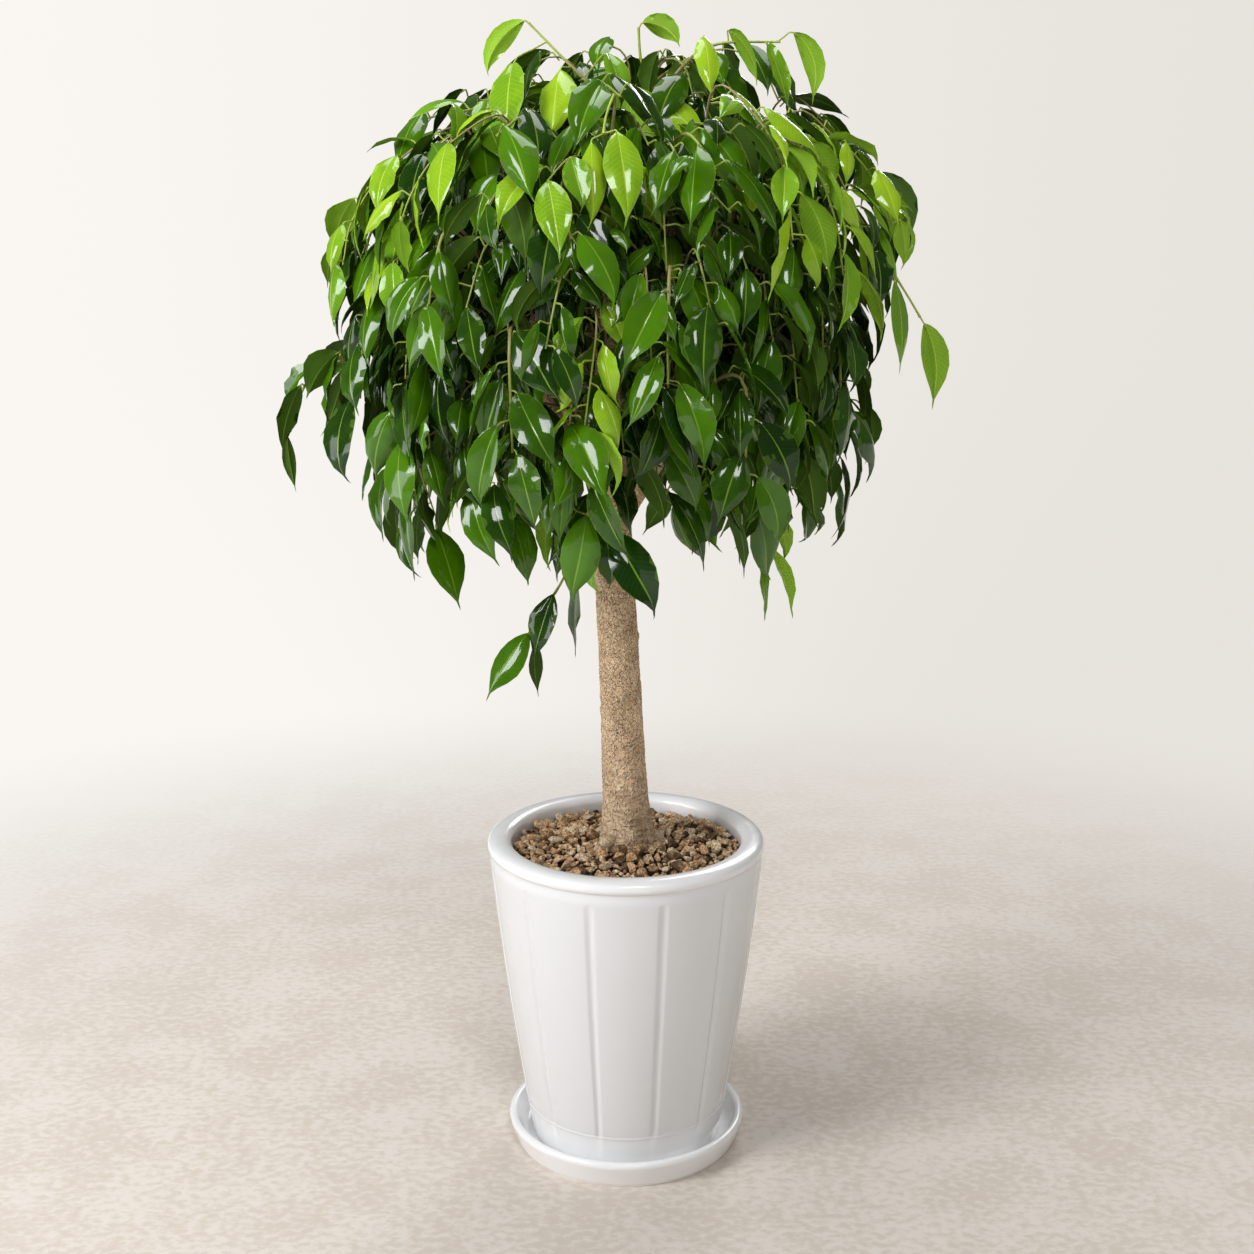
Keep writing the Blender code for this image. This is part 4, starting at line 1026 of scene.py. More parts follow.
def fill_shoots(bark, grown):
    """More shoots between those of the solids, on thinner twigs."""
    crowd = Crowd()
    crowd.add(bark)
    crowd.add(*(shoot.shape for shoot in grown))
    for shoot in grown:
        for number, leaf in enumerate(shoot.leaves):
            fit_style(shoot, leaf, number, crowd)
    made = []
    for index, (young, carrier, share, points) in enumerate(SHOULDER_SHOOTS):
        path = drawn_path(carrier, share, points, bark)
        shape = thin_twig(path)
        crowd.add(shape)
        made.append(Shoot(f"shoulder_{index + 1}", young, path, shape=shape, carrier=carrier))
    for index, plan in enumerate(shoot_plan(FILL_SHOOTS, FILL_POLARS, FILL_TURN)):
        for trial in range(TWIG_TRIES):
            rng = draw("fill twig", index, trial)
            path = twig_path(plan, bark, rng, TWIG_NUDGE * trial, FILL_TIP_SHARES, FILL_CREST_LIFT)
            path = path[:3] + [point + random_vector(rng) * FILL_SWAY for point in path[3:]]
            shape = thin_twig(path)
            if crowd.is_clear(shape) and not before_trunk(path[-1]):
                crowd.add(shape)
                share = np.interp(path[-1].z, FILL_YOUNG_HEIGHTS, FILL_YOUNG_SHARES)
                young = draw("fill young", index).random() < share
                made.append(Shoot(f"fill_{index + 1:03d}", young, path, shape=shape, carrier=plan[2]))
                break
    fill_leaves(made, crowd)
    return made


def fit_style(shoot, leaf, number, crowd):
    """Gives a solid's leaf the liveliest of its styles that is clear of all that is there."""
    for trial in range(STYLE_TRIES):
        style = style_of(shoot, number, 1 - trial / STYLE_TRIES)
        if shoot.name in DRAWN_NAMES:
            style = style._replace(turn=turn_to_front(leaf) * (1 - trial / STYLE_TRIES))
        sheet = sheet_shape(leaf, style)
        if crowd.is_clear(sheet, shoot.shape):
            break
    shoot.styles.append(style)
    crowd.add(sheet)


def turn_to_front(leaf):
    """How far a leaf is turned about its midrib for its upper side to look more towards the front."""
    _, side, face = blade_frame(leaf, 0.5)
    return max(-FRONT_TURN, min(FRONT_TURN, math.atan2(side.y, -face.y)))


def edge_turn(leaf):
    """The same for a leaf at the crown's left or right edge, and less for one nearer its front or back."""
    _, _, face = blade_frame(leaf, 0.5)
    return turn_to_front(leaf) * max(0.0, 1 - abs(face.y) * EDGE_FALL)


def fill_leaves(shoots, crowd):
    """Leaves for the filling shoots, wherever there is room for one."""
    for shoot, rank, spot in leaf_turns(shoots, FILL_LEAVES, FILL_SPACING):
        for trial in range(FILL_TRIES):
            ease = 1 - trial / FILL_TRIES
            style = style_of(shoot, rank, ease)
            rng = draw("fill leaf", shoot.name, rank, trial)
            leaf = trial_leaf(*spot, rng, trial, FILL_LENGTH_SHARES, FILL_LOOSENESS)
            style = style._replace(turn=style.turn + SIDE_TURN * ease * edge_turn(leaf))
            sheet = sheet_shape(leaf, style)
            if crowd.is_clear(sheet) and not before_trunk(leaf.neck + leaf.aim * leaf.length):
                shoot.leaves.append(leaf)
                shoot.styles.append(style)
                crowd.add(sheet)
                break


def style_of(shoot, number, ease):
    """How one leaf of a shoot folds, waves and curls. ease is from 1, as lively as leaves get, down to 0."""
    rng = draw("style", shoot.name, number)
    return Style(
        slim=rng.uniform(*SLIMNESS),
        fold=rng.uniform(*FOLDS) * ease,
        bulge=rng.uniform(*BULGES),
        wave=rng.uniform(*WAVES) * ease,
        beats=(rng.uniform(*BEATS), rng.uniform(*BEATS)),
        phases=(rng.uniform(0, 2 * math.pi), rng.uniform(0, 2 * math.pi)),
        turn=rng.uniform(-TURNS, TURNS) * ease,
        curl=rng.uniform(-TIP_CURL, TIP_CURL) * ease,
        dip=rng.uniform(-TIP_DIP, TIP_DIP / 2) * ease,
    )


def fine_width(v):
    """Half width of a fine blade at v, as a share of its greatest: an oval body with a long thin tip."""
    body = np.clip(v / FINE_BODY, 0.0, 1.0)
    oval = np.abs(np.sin(np.pi * body**FINE_BASE_POWER)) ** FINE_OVAL_POWER
    tail = FINE_TAIL_SHARE * np.clip((1 - v) / FINE_TAIL_LENGTH, 0.0, 1.0) ** FINE_TAIL_POWER
    return np.where(v > 0.5, np.maximum(oval, tail), oval)


def blade_frames(leaf, v, turn):
    """blade_frame for an array of v, as arrays of points and directions, turned further about the midrib."""
    v = v[:, None]
    aim, face, neck = (np.array(x) for x in (leaf.aim, leaf.face, leaf.neck))
    sin, cos = np.sin(leaf.bend * v), np.cos(leaf.bend * v)
    centre = neck + (aim * sin - face * (1 - cos)) * (leaf.length / leaf.bend)
    run = aim * cos - face * sin
    up = face * cos + aim * sin
    side = np.cross(run, up)
    sin, cos = np.sin(leaf.twist * v + turn), np.cos(leaf.twist * v + turn)
    hook = v * (1 - v) * leaf.hook * leaf.length
    return centre + side * hook, side * cos - up * sin, up * cos + side * sin


def sheet_points(leaf, style, rows, columns):
    """The upper side of a fine blade, as points by row and column, and the face directions by row."""
    centre, side, face = blade_frames(leaf, rows, style.turn)
    width = fine_width(rows)
    reach = np.abs(columns)
    beats = np.where(columns < 0, *style.beats)
    phases = np.where(columns < 0, *style.phases)
    waves = style.wave * reach**2 * np.sin(2 * np.pi * np.outer(rows, beats) + phases)
    bulge = style.bulge * 4 * reach * (1 - reach)
    ridge = LEAF_RIDGE * (1 - reach**FINE_RIDGE_POWER)
    height = (ridge + style.fold * reach + bulge + waves) * np.sqrt(width)[:, None]
    height = height - RIB_GROOVE * np.exp(-((columns / RIB_WIDTH_SHARE) ** 2)) * width[:, None]
    end = np.clip((rows - TIP_FROM) / TIP_LENGTH, 0.0, 1.0)[:, None] ** 2
    height = height + style.dip * end
    across = np.outer(width * style.slim * leaf.width / 2, columns) + style.curl * end
    points = centre[:, None] + side[:, None] * across[:, :, None] + face[:, None] * height[:, :, None]
    return points, face


def grid_faces(rows, columns, round_rows=False, round_columns=False):
    """Quads of a grid of points that are numbered row by row. Either way it may close on itself."""
    made = []
    for row in range(rows if round_rows else rows - 1):
        here, after = row * columns, (row + 1) % rows * columns
        for column in range(columns if round_columns else columns - 1):
            beside = (column + 1) % columns
            made.append((here + column, here + beside, after + beside, after + column))
    return made


PROXY_FACES = grid_faces(len(PROXY_ROWS), len(PROXY_COLUMNS))


def sheet_shape(leaf, style):
    """A coarse blade with no thickness and a strip for its petiole, to test for room."""
    points, _ = sheet_points(leaf, style, PROXY_ROWS, PROXY_COLUMNS)
    points = points.reshape(-1, 3)
    start = np.array(leaf.root.lerp(leaf.neck, PETIOLE_FREE))
    side = np.array(leaf.aim.cross(leaf.face)) * STALK_RADIUS
    strip = [start - side, start + side, points[3], points[1]]
    count = len(points)
    faces = PROXY_FACES + [(count, count + 1, count + 2, count + 3)]
    return shape_of(np.vstack([points, strip]), faces)


def leaf_faces():
    """Faces of a fine blade and the side each is on: 0 above, 1 below. The two sides share their margins."""
    rows, columns = len(BLADE_ROWS), len(BLADE_COLUMNS)
    inner = columns - 2

    def top(row, column):
        return 2 + row * columns + column

    def under(row, column):
        if column in (0, columns - 1):
            return top(row, column)
        return 2 + rows * columns + row * inner + column - 1

    faces = []
    for column in range(columns - 1):
        for row in range(rows - 1):
            corners = ((row, column), (row, column + 1), (row + 1, column + 1), (row + 1, column))
            faces.append((tuple(top(*c) for c in corners), 0))
            faces.append((tuple(under(*c) for c in reversed(corners)), 1))
        last = rows - 1
        faces.append(((0, top(0, column + 1), top(0, column)), 0))
        faces.append(((0, under(0, column), under(0, column + 1)), 1))
        faces.append(((1, top(last, column), top(last, column + 1)), 0))
        faces.append(((1, under(last, column + 1), under(last, column)), 1))
    return faces


LEAF_FACES = leaf_faces()


def blade_points(leaf, style):
    """Points of a fine blade, in the order of leaf_faces, and where each lies on it: across and along."""
    upper, face = sheet_points(leaf, style, BLADE_ROWS, BLADE_COLUMNS)
    inner = BLADE_COLUMNS[1:-1]
    rib = RIB_RISE * np.exp(-((inner / RIB_WIDTH_SHARE) ** 2)) * (1 - RIB_TAPER * BLADE_ROWS[:, None])
    depth = BLADE_THICKNESS * np.sqrt(1 - inner**2) + rib
    lower = upper[:, 1:-1] - face[:, None] * depth[:, :, None]
    ends, _ = sheet_points(leaf, style, np.array((0.0, 1.0)), np.array((0.0,)))
    points = np.vstack([ends.reshape(-1, 3), upper.reshape(-1, 3), lower.reshape(-1, 3)])
    places = [(0.0, 0.0), (0.0, 1.0)]
    places += [(u, v) for v in BLADE_ROWS for u in BLADE_COLUMNS]
    places += [(u, v) for v in BLADE_ROWS for u in inner]
    return points, places


def round_angles(count):
    """Evenly spaced angles, once round."""
    return np.arange(count) * 2 * np.pi / count


def tube_mesh(path, radii, sides):
    """Points and faces of a round tube along a path, closed at both ends."""
    path = np.array(path, float)
    runs = np.gradient(path, axis=0)
    runs /= np.linalg.norm(runs, axis=1)[:, None]
    turns = round_angles(sides)
    across = np.cross(runs[0], np.eye(3)[np.argmin(np.abs(runs[0]))])
    points = []
    for place, run, radius in zip(path, runs, radii):
        across = across - run * (across @ run)
        across /= np.linalg.norm(across)
        other = np.cross(run, across)
        points.append(place + radius * (np.outer(np.cos(turns), across) + np.outer(np.sin(turns), other)))
    points = np.vstack(points)
    last = (len(path) - 1) * sides
    caps = tuple(reversed(range(sides))), tuple(range(last, last + sides))
    return points, [caps[0], *grid_faces(len(path), sides, round_columns=True), caps[1]]


def smooth_path(path, step):
    """Points about a step apart on a smooth curve through a path's points."""
    path = np.array(path, float)
    ends = np.vstack([2 * path[0] - path[1], path, 2 * path[-1] - path[-2]])
    made = []
    for a, b, c, d in zip(ends, ends[1:], ends[2:], ends[3:]):
        count = max(1, round(float(np.linalg.norm(c - b)) / step))
        for t in np.arange(count) / count:
            made.append(0.5 * (2 * b + (c - a) * t + (2 * a - 5 * b + 4 * c - d) * t**2
                               + (3 * b - a - 3 * c + d) * t**3))
    return np.array([*made, path[-1]])


class Piece:
    """Points and faces gathered for one object, with each point's place on its leaf or twig and its tint."""

    def __init__(self):
        self.points = []
        self.faces = []
        self.finishes = []
        self.places = []
        self.tints = []
        self.count = 0

    def add(self, points, faces, finishes=0, places=(0.0, 0.0), tint=0.0):
        """finishes and places are one for each face and each point, or one for all."""
        start = self.count
        self.points.append(np.asarray(points, float))
        self.faces += [tuple(start + corner for corner in face) for face in faces]
        self.finishes += [finishes] * len(faces) if isinstance(finishes, int) else finishes
        self.places += [places] * len(points) if isinstance(places, tuple) else places
        self.tints += [tint] * len(points)
        self.count += len(points)

    def made(self, name, materials, sharp=60):
        mesh = bpy.data.meshes.new(name)
        mesh.from_pydata(np.vstack(self.points).tolist(), [], self.faces)
        for finish in materials:
            mesh.materials.append(finish)
        mesh.polygons.foreach_set("material_index", self.finishes)
        places = mesh.attributes.new("place", "FLOAT_VECTOR", "POINT")
        places.data.foreach_set("vector", [x for u, v in self.places for x in (u, v, 0.0)])
        tints = mesh.attributes.new("tint", "FLOAT", "POINT")
        tints.data.foreach_set("value", self.tints)
        mesh.shade_smooth()
        mesh.set_sharp_from_angle(angle=math.radians(sharp))
        obj = bpy.data.objects.new(name, mesh)
        bpy.context.scene.collection.objects.link(obj)
        return obj


def add_leaf(piece, leaf, style, tint):
    """One fine leaf: its blade and its petiole, which runs a little way in under the blade."""
    points, places = blade_points(leaf, style)
    piece.add(points, [face for face, _ in LEAF_FACES], [side for _, side in LEAF_FACES], places, tint)
    stalk = leaf.neck - leaf.root
    centre, _, face = blade_frame(leaf, STALK_ENDS_AT)
    under = centre + face * (LEAF_RIDGE * 0.5 - STALK_RADIUS)
    out, back = STALK_BEND
    path = bezier(leaf.root, leaf.root + stalk * out, leaf.neck - leaf.aim * (stalk.length * back), leaf.neck,
                  STALK_POINTS)
    radii = [STALK_RADIUS] * STALK_POINTS + [STALK_RADIUS * STALK_TIP_SHARE]
    points, faces = tube_mesh([*path, under], radii, STALK_SIDES)
    piece.add(points, faces, STALK_FINISH, (0.0, 1.0), tint)


def add_twig(piece, shoot, thick, thin):
    """A fine twig, a little swollen where each leaf leaves it."""
    path = smooth_path(shoot.path, FINE_TWIG_STEP)
    shares = np.linspace(0.0, 1.0, len(path))
    radii = thick + (thin - thick) * shares
    for leaf in shoot.leaves:
        gaps = np.linalg.norm(path - np.array(leaf.root), axis=1)
        radii = radii * (1 + KNOT_SWELL * np.exp(-((gaps / KNOT_REACH) ** 2)))
    points, faces = tube_mesh(path, radii, FINE_TWIG_SIDES)
    places = [(0.0, share) for share in shares for _ in range(FINE_TWIG_SIDES)]
    piece.add(points, faces, STALK_FINISH, places, draw("twig tint", shoot.name).random())


def add_shoot(piece, shoot, thick, thin):
    add_twig(piece, shoot, thick, thin)
    for number, (leaf, style) in enumerate(zip(shoot.leaves, shoot.styles)):
        # Painted shade: a leaf's tint is cut down the deeper it lies in the crown.
        shade = np.interp((leaf.neck - SHELL_CENTRE).length / SHELL_RADIUS, DEEP_SHADE_SHARES, DEEP_SHADE_TINTS)
        add_leaf(piece, leaf, style, shade * draw("tint", shoot.name, number).random())


def rounded(corners, steps=5):
    """An outline through corners, each given as a radius, a height and how far its rounding reaches."""
    made = [corners[0][:2]]
    for before, corner, after in zip(corners, corners[1:], corners[2:]):
        here = Vector(corner[:2])
        first = here + (Vector(before[:2]) - here).normalized() * corner[2]
        last = here + (Vector(after[:2]) - here).normalized() * corner[2]
        for step in range(steps + 1):
            t = step / steps
            made.append(tuple(first * (1 - t) ** 2 + here * (2 * t * (1 - t)) + last * t**2))
    return made + [corners[-1][:2]]


def corners_from(radius, height, offsets):
    """Corners of an outline, given by their offsets from a radius and a height, with their roundings."""
    return [(radius + out, height + up, reach) for out, up, reach in offsets]


def oval(centre_radius, centre_z, across, up, first, last, count):
    """Points of a slightly squared oval, from one angle to another in degrees."""
    made = []
    for angle in np.radians(np.linspace(first, last, count)):
        cos, sin = math.cos(angle), math.sin(angle)
        out = math.copysign(abs(cos) ** RIM_SQUARENESS, cos)
        rise = math.copysign(abs(sin) ** RIM_SQUARENESS, sin)
        made.append((centre_radius + across * out, centre_z + up * rise))
    return made


def turned(piece, outline, angles, closed=False, relief=None):
    """Adds an outline of radii and heights, turned about Z. relief is what comes off the radius."""
    radii, heights = np.array(outline).T
    turn, radius = np.meshgrid(angles, radii, indexing="ij")
    height = np.broadcast_to(heights, radius.shape)
    if relief:
        radius = radius - relief(turn, radius, height)
    points = np.stack([radius * np.cos(turn), radius * np.sin(turn), height], axis=-1).reshape(-1, 3)
    piece.add(points, grid_faces(*radius.shape, round_rows=True, round_columns=closed))


def welded(obj):
    """The object with the points that share a place made one, as at a turned shape's poles."""
    weld_points(obj.data, WELD / 10)
    return obj


def saucer(finish):
    """A shallow dish with a thick rolled lip and a faint foot."""
    edge = SAUCER_HIGH.x - SAUCER_LIP
    lip = oval(edge, SAUCER_HIGH.z - SAUCER_LIP, SAUCER_LIP, SAUCER_LIP, *LIP_SWEEP)
    corner = (SAUCER_FLAT, SAUCER_FLOOR, SAUCER_ROUNDING)
    inside = rounded([(0.0, SAUCER_FLOOR, 0.0), corner, (*lip[0], 0.0)], SAUCER_ROUNDING_STEPS)
    outside = rounded([(*lip[-1], 0.0), *corners_from(SAUCER_FOOT, 0.0, SAUCER_CORNERS), (0.0, 0.0, 0.0)])
    piece = Piece()
    turned(piece, inside[:-1] + lip + outside[1:], round_angles(SAUCER_SIDES))
    return welded(piece.made("saucer_glazed", [finish], GLAZE_SHARP))


def wall_radius(z):
    """Radius of the pot's outer wall at height z, from the foot band to the shoulder. It bulges a little."""
    share = (z - BAND_Z) / (SHOULDER_Z - BAND_Z)
    return BAND_RADIUS + (SHOULDER_RADIUS - BAND_RADIUS) * share + POT_BULGE * math.sin(math.pi * share)


def flutes(turn, radius, height):
    """How deep the pot's upright flutes are at each point of its outer wall."""
    pitch = 2 * np.pi / FLUTES
    aside = np.abs((turn - FLUTE_FIRST + pitch / 2) % pitch - pitch / 2) * SHOULDER_RADIUS
    bell = np.where(aside < FLUTE_HALF_WIDTH, 0.5 + 0.5 * np.cos(np.pi * aside / FLUTE_HALF_WIDTH), 0.0)
    low = np.clip((height - FLUTE_LOW_Z) / FLUTE_FADE, 0.0, 1.0)
    high = np.clip((FLUTE_TOP_Z - height) / FLUTE_FADE, 0.0, 1.0)
    outer = radius > np.array([wall_radius(z) for z in height[0]]) - FLUTE_DEPTH
    return FLUTE_DEPTH * bell * np.sqrt(low * high) * outer


def pot(finish):
    """A tapered pot with a rolled rim over a crease, upright flutes, a raised line and a foot band."""
    rim = oval(POT_HIGH.x - RIM_ACROSS, POT_HIGH.z - RIM_UP, RIM_ACROSS, RIM_UP, *RIM_SWEEP)
    low, high = BAND_RADIUS - POT_WALL, SHOULDER_RADIUS - 2 * POT_WALL
    floor, throat, under_rim = POT_ROUNDINGS
    inside = rounded([(DRAIN_RADIUS, POT_FLOOR_Z, 0.0), (low - POT_FLOOR_INSET, POT_FLOOR_Z, floor),
                      (high, THROAT_Z, throat), (rim[0][0], rim[0][1] - RIM_DROP, under_rim), (*rim[0], 0.0)])
    heights = np.linspace(SHOULDER_Z - SHOULDER_ROOM, BAND_Z + BAND_ROOM, POT_WALL_ROWS)
    wall = [(wall_radius(z), z) for z in heights]
    shoulder = rounded([(*rim[-1], 0.0), (wall_radius(SHOULDER_Z) - CREASE_DEPTH, CREASE_Z, CREASE_ROUNDING),
                        (wall_radius(SHOULDER_Z), SHOULDER_Z, SHOULDER_ROUNDING), (*wall[0], 0.0)])
    foot = rounded([(*wall[-1], 0.0), *corners_from(wall_radius(BAND_Z), BAND_Z, BAND_CORNERS),
                    *corners_from(POT_FOOT, POT_LOW.z, POT_FOOT_CORNERS),
                    (DRAIN_RADIUS, POT_LOW.z + FOOT_HOLLOW, 0.0)])
    near = np.array(FLUTE_COLUMNS)
    aside = np.concatenate([-near[:0:-1], near]) / SHOULDER_RADIUS
    angles = np.concatenate([FLUTE_FIRST + n * 2 * np.pi / FLUTES + aside for n in range(FLUTES)])
    piece = Piece()
    outline = inside[:-1] + rim + shoulder[1:-1] + wall + foot[1:]
    turned(piece, outline, angles, closed=True, relief=flutes)
    return piece.made("pot_glazed", [finish], GLAZE_SHARP)


def mix_height(x, y):
    """Height of the potting mix: a low mound round the trunk, a little uneven."""
    share = min(1.0, math.hypot(x, y) / MIX_RADIUS)
    bumps = MIX_BUMP_HEIGHT * noise.noise(Vector((x, y, 0.0)) * MIX_BUMP_SCALE)
    return MIX_EDGE_Z + MIX_MOUND * (1 - share * share) + bumps


def lump_spots(rng):
    """Where the loose lumps lie: x, y, radius and fineness, the largest first, none much over another."""
    spots = np.zeros((0, 3))
    fineness = []
    for low, high, tries, level in LUMP_SIZES:
        for _ in range(tries):
            radius = rng.uniform(low, high)
            out = math.sqrt(rng.uniform(LUMP_INNER_RADIUS**2, (MIX_RADIUS - 0.5 * radius) ** 2))
            turn = rng.uniform(0, 2 * math.pi)
            place = np.array((out * math.cos(turn), out * math.sin(turn)))
            gaps = np.hypot(*(spots[:, :2] - place).T)
            if np.all(gaps > LUMP_ROOM * (spots[:, 2] + radius)):
                spots = np.vstack([spots, (*place, radius)])
                fineness.append(level)
    return [(*spot, level) for spot, level in zip(spots, fineness)]


def ball(level):
    """Points and faces of a unit ball of triangles."""
    cage = bmesh.new()
    bmesh.ops.create_icosphere(cage, subdivisions=level, radius=1.0)
    points = np.array([v.co for v in cage.verts])
    faces = [tuple(v.index for v in face.verts) for face in cage.faces]
    cage.free()
    return points, faces


def lump(points, rng):
    """A ball's points made a broken lump: cut by random planes, pitted, stretched and turned."""
    points = points.copy()
    for _ in range(LUMP_CUTS):
        normal = np.array(random_vector(rng).normalized())
        beyond = points @ normal - rng.uniform(*LUMP_CUT_DEPTHS)
        points -= np.outer(np.maximum(beyond, 0.0), normal)
    shift = random_vector(rng) * LUMP_SHIFT
    coarse, fine = LUMP_SCALES
    rough = [noise.noise(Vector(p) * coarse + shift) + 0.5 * noise.noise(Vector(p) * fine + shift)
             for p in points]
    points *= LUMP_SWELL * (1 + LUMP_ROUGHNESS * np.array(rough)[:, None])
    points *= (1.0, rng.uniform(*LUMP_WIDTHS), rng.uniform(*LUMP_HEIGHTS))
    tilt = Matrix.Rotation(rng.uniform(-LUMP_TILT, LUMP_TILT), 3, "X")
    return points @ np.array(tilt @ Matrix.Rotation(rng.uniform(0, LUMP_TURN), 3, "Z"))


def potting_mix(finish):
    """The mix that fills the pot, and the lumps of bark and lava that lie on it."""
    low, high = BAND_RADIUS - POT_WALL, SHOULDER_RADIUS - 2 * POT_WALL
    rings = np.linspace(STEM_HOLE_RADIUS, MIX_RADIUS, MIX_RINGS)
    outline = [(0.0, TRUNK_LOW.z), (STEM_HOLE_RADIUS, TRUNK_LOW.z), *((r, MIX_EDGE_Z) for r in rings)]
    outline += [(high - MIX_GAP, THROAT_Z), (low - MIX_FOOT_INSETS[0], POT_FLOOR_Z + MIX_FOOT_RISE),
                (low - MIX_FOOT_INSETS[1], SOIL_LOW.z), (0.0, SOIL_LOW.z)]
    piece = Piece()
    turned(piece, outline, round_angles(MIX_SIDES))
    for point in piece.points[0]:
        if point[2] > MIX_EDGE_Z - WELD:
            point[2] = mix_height(point[0], point[1]) - MIX_DROP
    balls = {level: ball(level) for level in {size[3] for size in LUMP_SIZES}}
    rng = draw("lumps")
    for x, y, radius, level in lump_spots(rng):
        points, faces = balls[level]
        sunk = mix_height(x, y) + radius * rng.uniform(*LUMP_LIFTS)
        points = lump(points, rng) * radius
        # Each point's height on its lump, from which the mix's finish paints shade low down, in the gaps.
        rise = [(0.0, 0.5 + 0.5 * point[2] / radius) for point in points]
        piece.add(points + (x, y, sunk), faces, 0, rise, rng.uniform(0.0, 1.0))
    return welded(piece.made("potting_mix", [finish], LUMP_SHARP))


def bark_relief(place, z):
    """How far the bark stands out at a place of the trunk: swells, winding ridges and wrinkles."""
    swell = noise.noise(place / SWELLS[0]) * SWELLS[1]
    winding = abs(noise.noise(place / WORMS[0]))
    worms = max(0.0, WORM_WIDTH - winding) * WORMS[1] * 2
    low = min(1.0, max(0.0, (WRINKLES_TOP_Z - z) / WRINKLES_FADE))
    sway = WRINKLE_SWAY * noise.noise(place / WRINKLE_SWAY_SIZE)
    wave = math.sin(z / WRINKLES[0] * 2 * math.pi + sway)
    return swell + worms + low * WRINKLES[1] * wave


def scars():
    """The small leaf scars and knots on the bare trunk: their angle, their height and their size."""
    rng = draw("scars")
    ranges = ((0, 2 * math.pi), SCAR_HEIGHTS, SCAR_SIZES)
    return [tuple(rng.uniform(*limits) for limits in ranges) for _ in range(SCARS)]


def trunk(finish):
    """The trunk with its root flare and leader, grown together with the limbs and a few surface roots."""
    rows = smooth_path(TRUNK, BARK_STEP)
    turns = round_angles(BARK_SIDES)
    marks = scars()
    points = []
    for x, y, z, radius in rows:
        flare = 1 + ROOT_LOBE_SHARE * flare_share(z) * np.cos(ROOT_LOBES * turns + ROOT_LOBE_TURN)
        for turn, reach in zip(turns, radius * flare):
            out = reach + bark_relief(Vector((reach * math.cos(turn), reach * math.sin(turn), z)), z)
            for angle, height, size in marks:
                if abs(z - height) < SCAR_REACH * SCAR_SIZE:
                    aside = (turn - angle + math.pi) % (2 * math.pi) - math.pi
                    gap = math.hypot(aside * reach, SCAR_SQUASH * (z - height)) / (SCAR_SIZE * size)
                    dimple = SCAR_DIMPLE * math.exp(-((SCAR_REACH * gap) ** 2))
                    out += SCAR_RISE * size * (math.exp(-gap**2) - dimple)
            points.append((x + out * math.cos(turn), y + out * math.sin(turn), z))
    _, faces = tube_mesh(rows[:, :3], rows[:, 3], BARK_SIDES)
    piece = Piece()
    piece.add(points, faces)
    obj = piece.made("trunk_bark", [finish])
    extras = collection("grown onto the trunk")
    branches = [limb_path(index) for index in range(LIMBS)]
    branches += [(path, SURFACE_ROOT_RADII) for path in SURFACE_ROOTS]
    for index, (path, radii) in enumerate(branches):
        grown_on(f"branch_{index + 1}", path, radii, extras)
    return joined(obj, extras, bpy.context.scene.collection)


def grown_on(name, path, radii, home):
    """A limb or root, roughened a little, to be joined to the trunk."""
    rows = smooth_path([(*place, radius) for place, radius in zip(path, radii)], LIMB_STEP)
    points, faces = tube_mesh(rows[:, :3], rows[:, 3], LIMB_FINE_SIDES)
    centres = np.repeat(rows[:, :3], LIMB_FINE_SIDES, axis=0)
    rough = np.array([noise.noise(Vector(p) / LIMB_LUMPS) for p in points])
    points = centres + (points - centres) * (1 + LIMB_ROUGHNESS * rough)[:, None]
    piece = Piece()
    piece.add(points, faces)
    obj = piece.made(name, [])
    bpy.context.scene.collection.objects.unlink(obj)
    home.objects.link(obj)


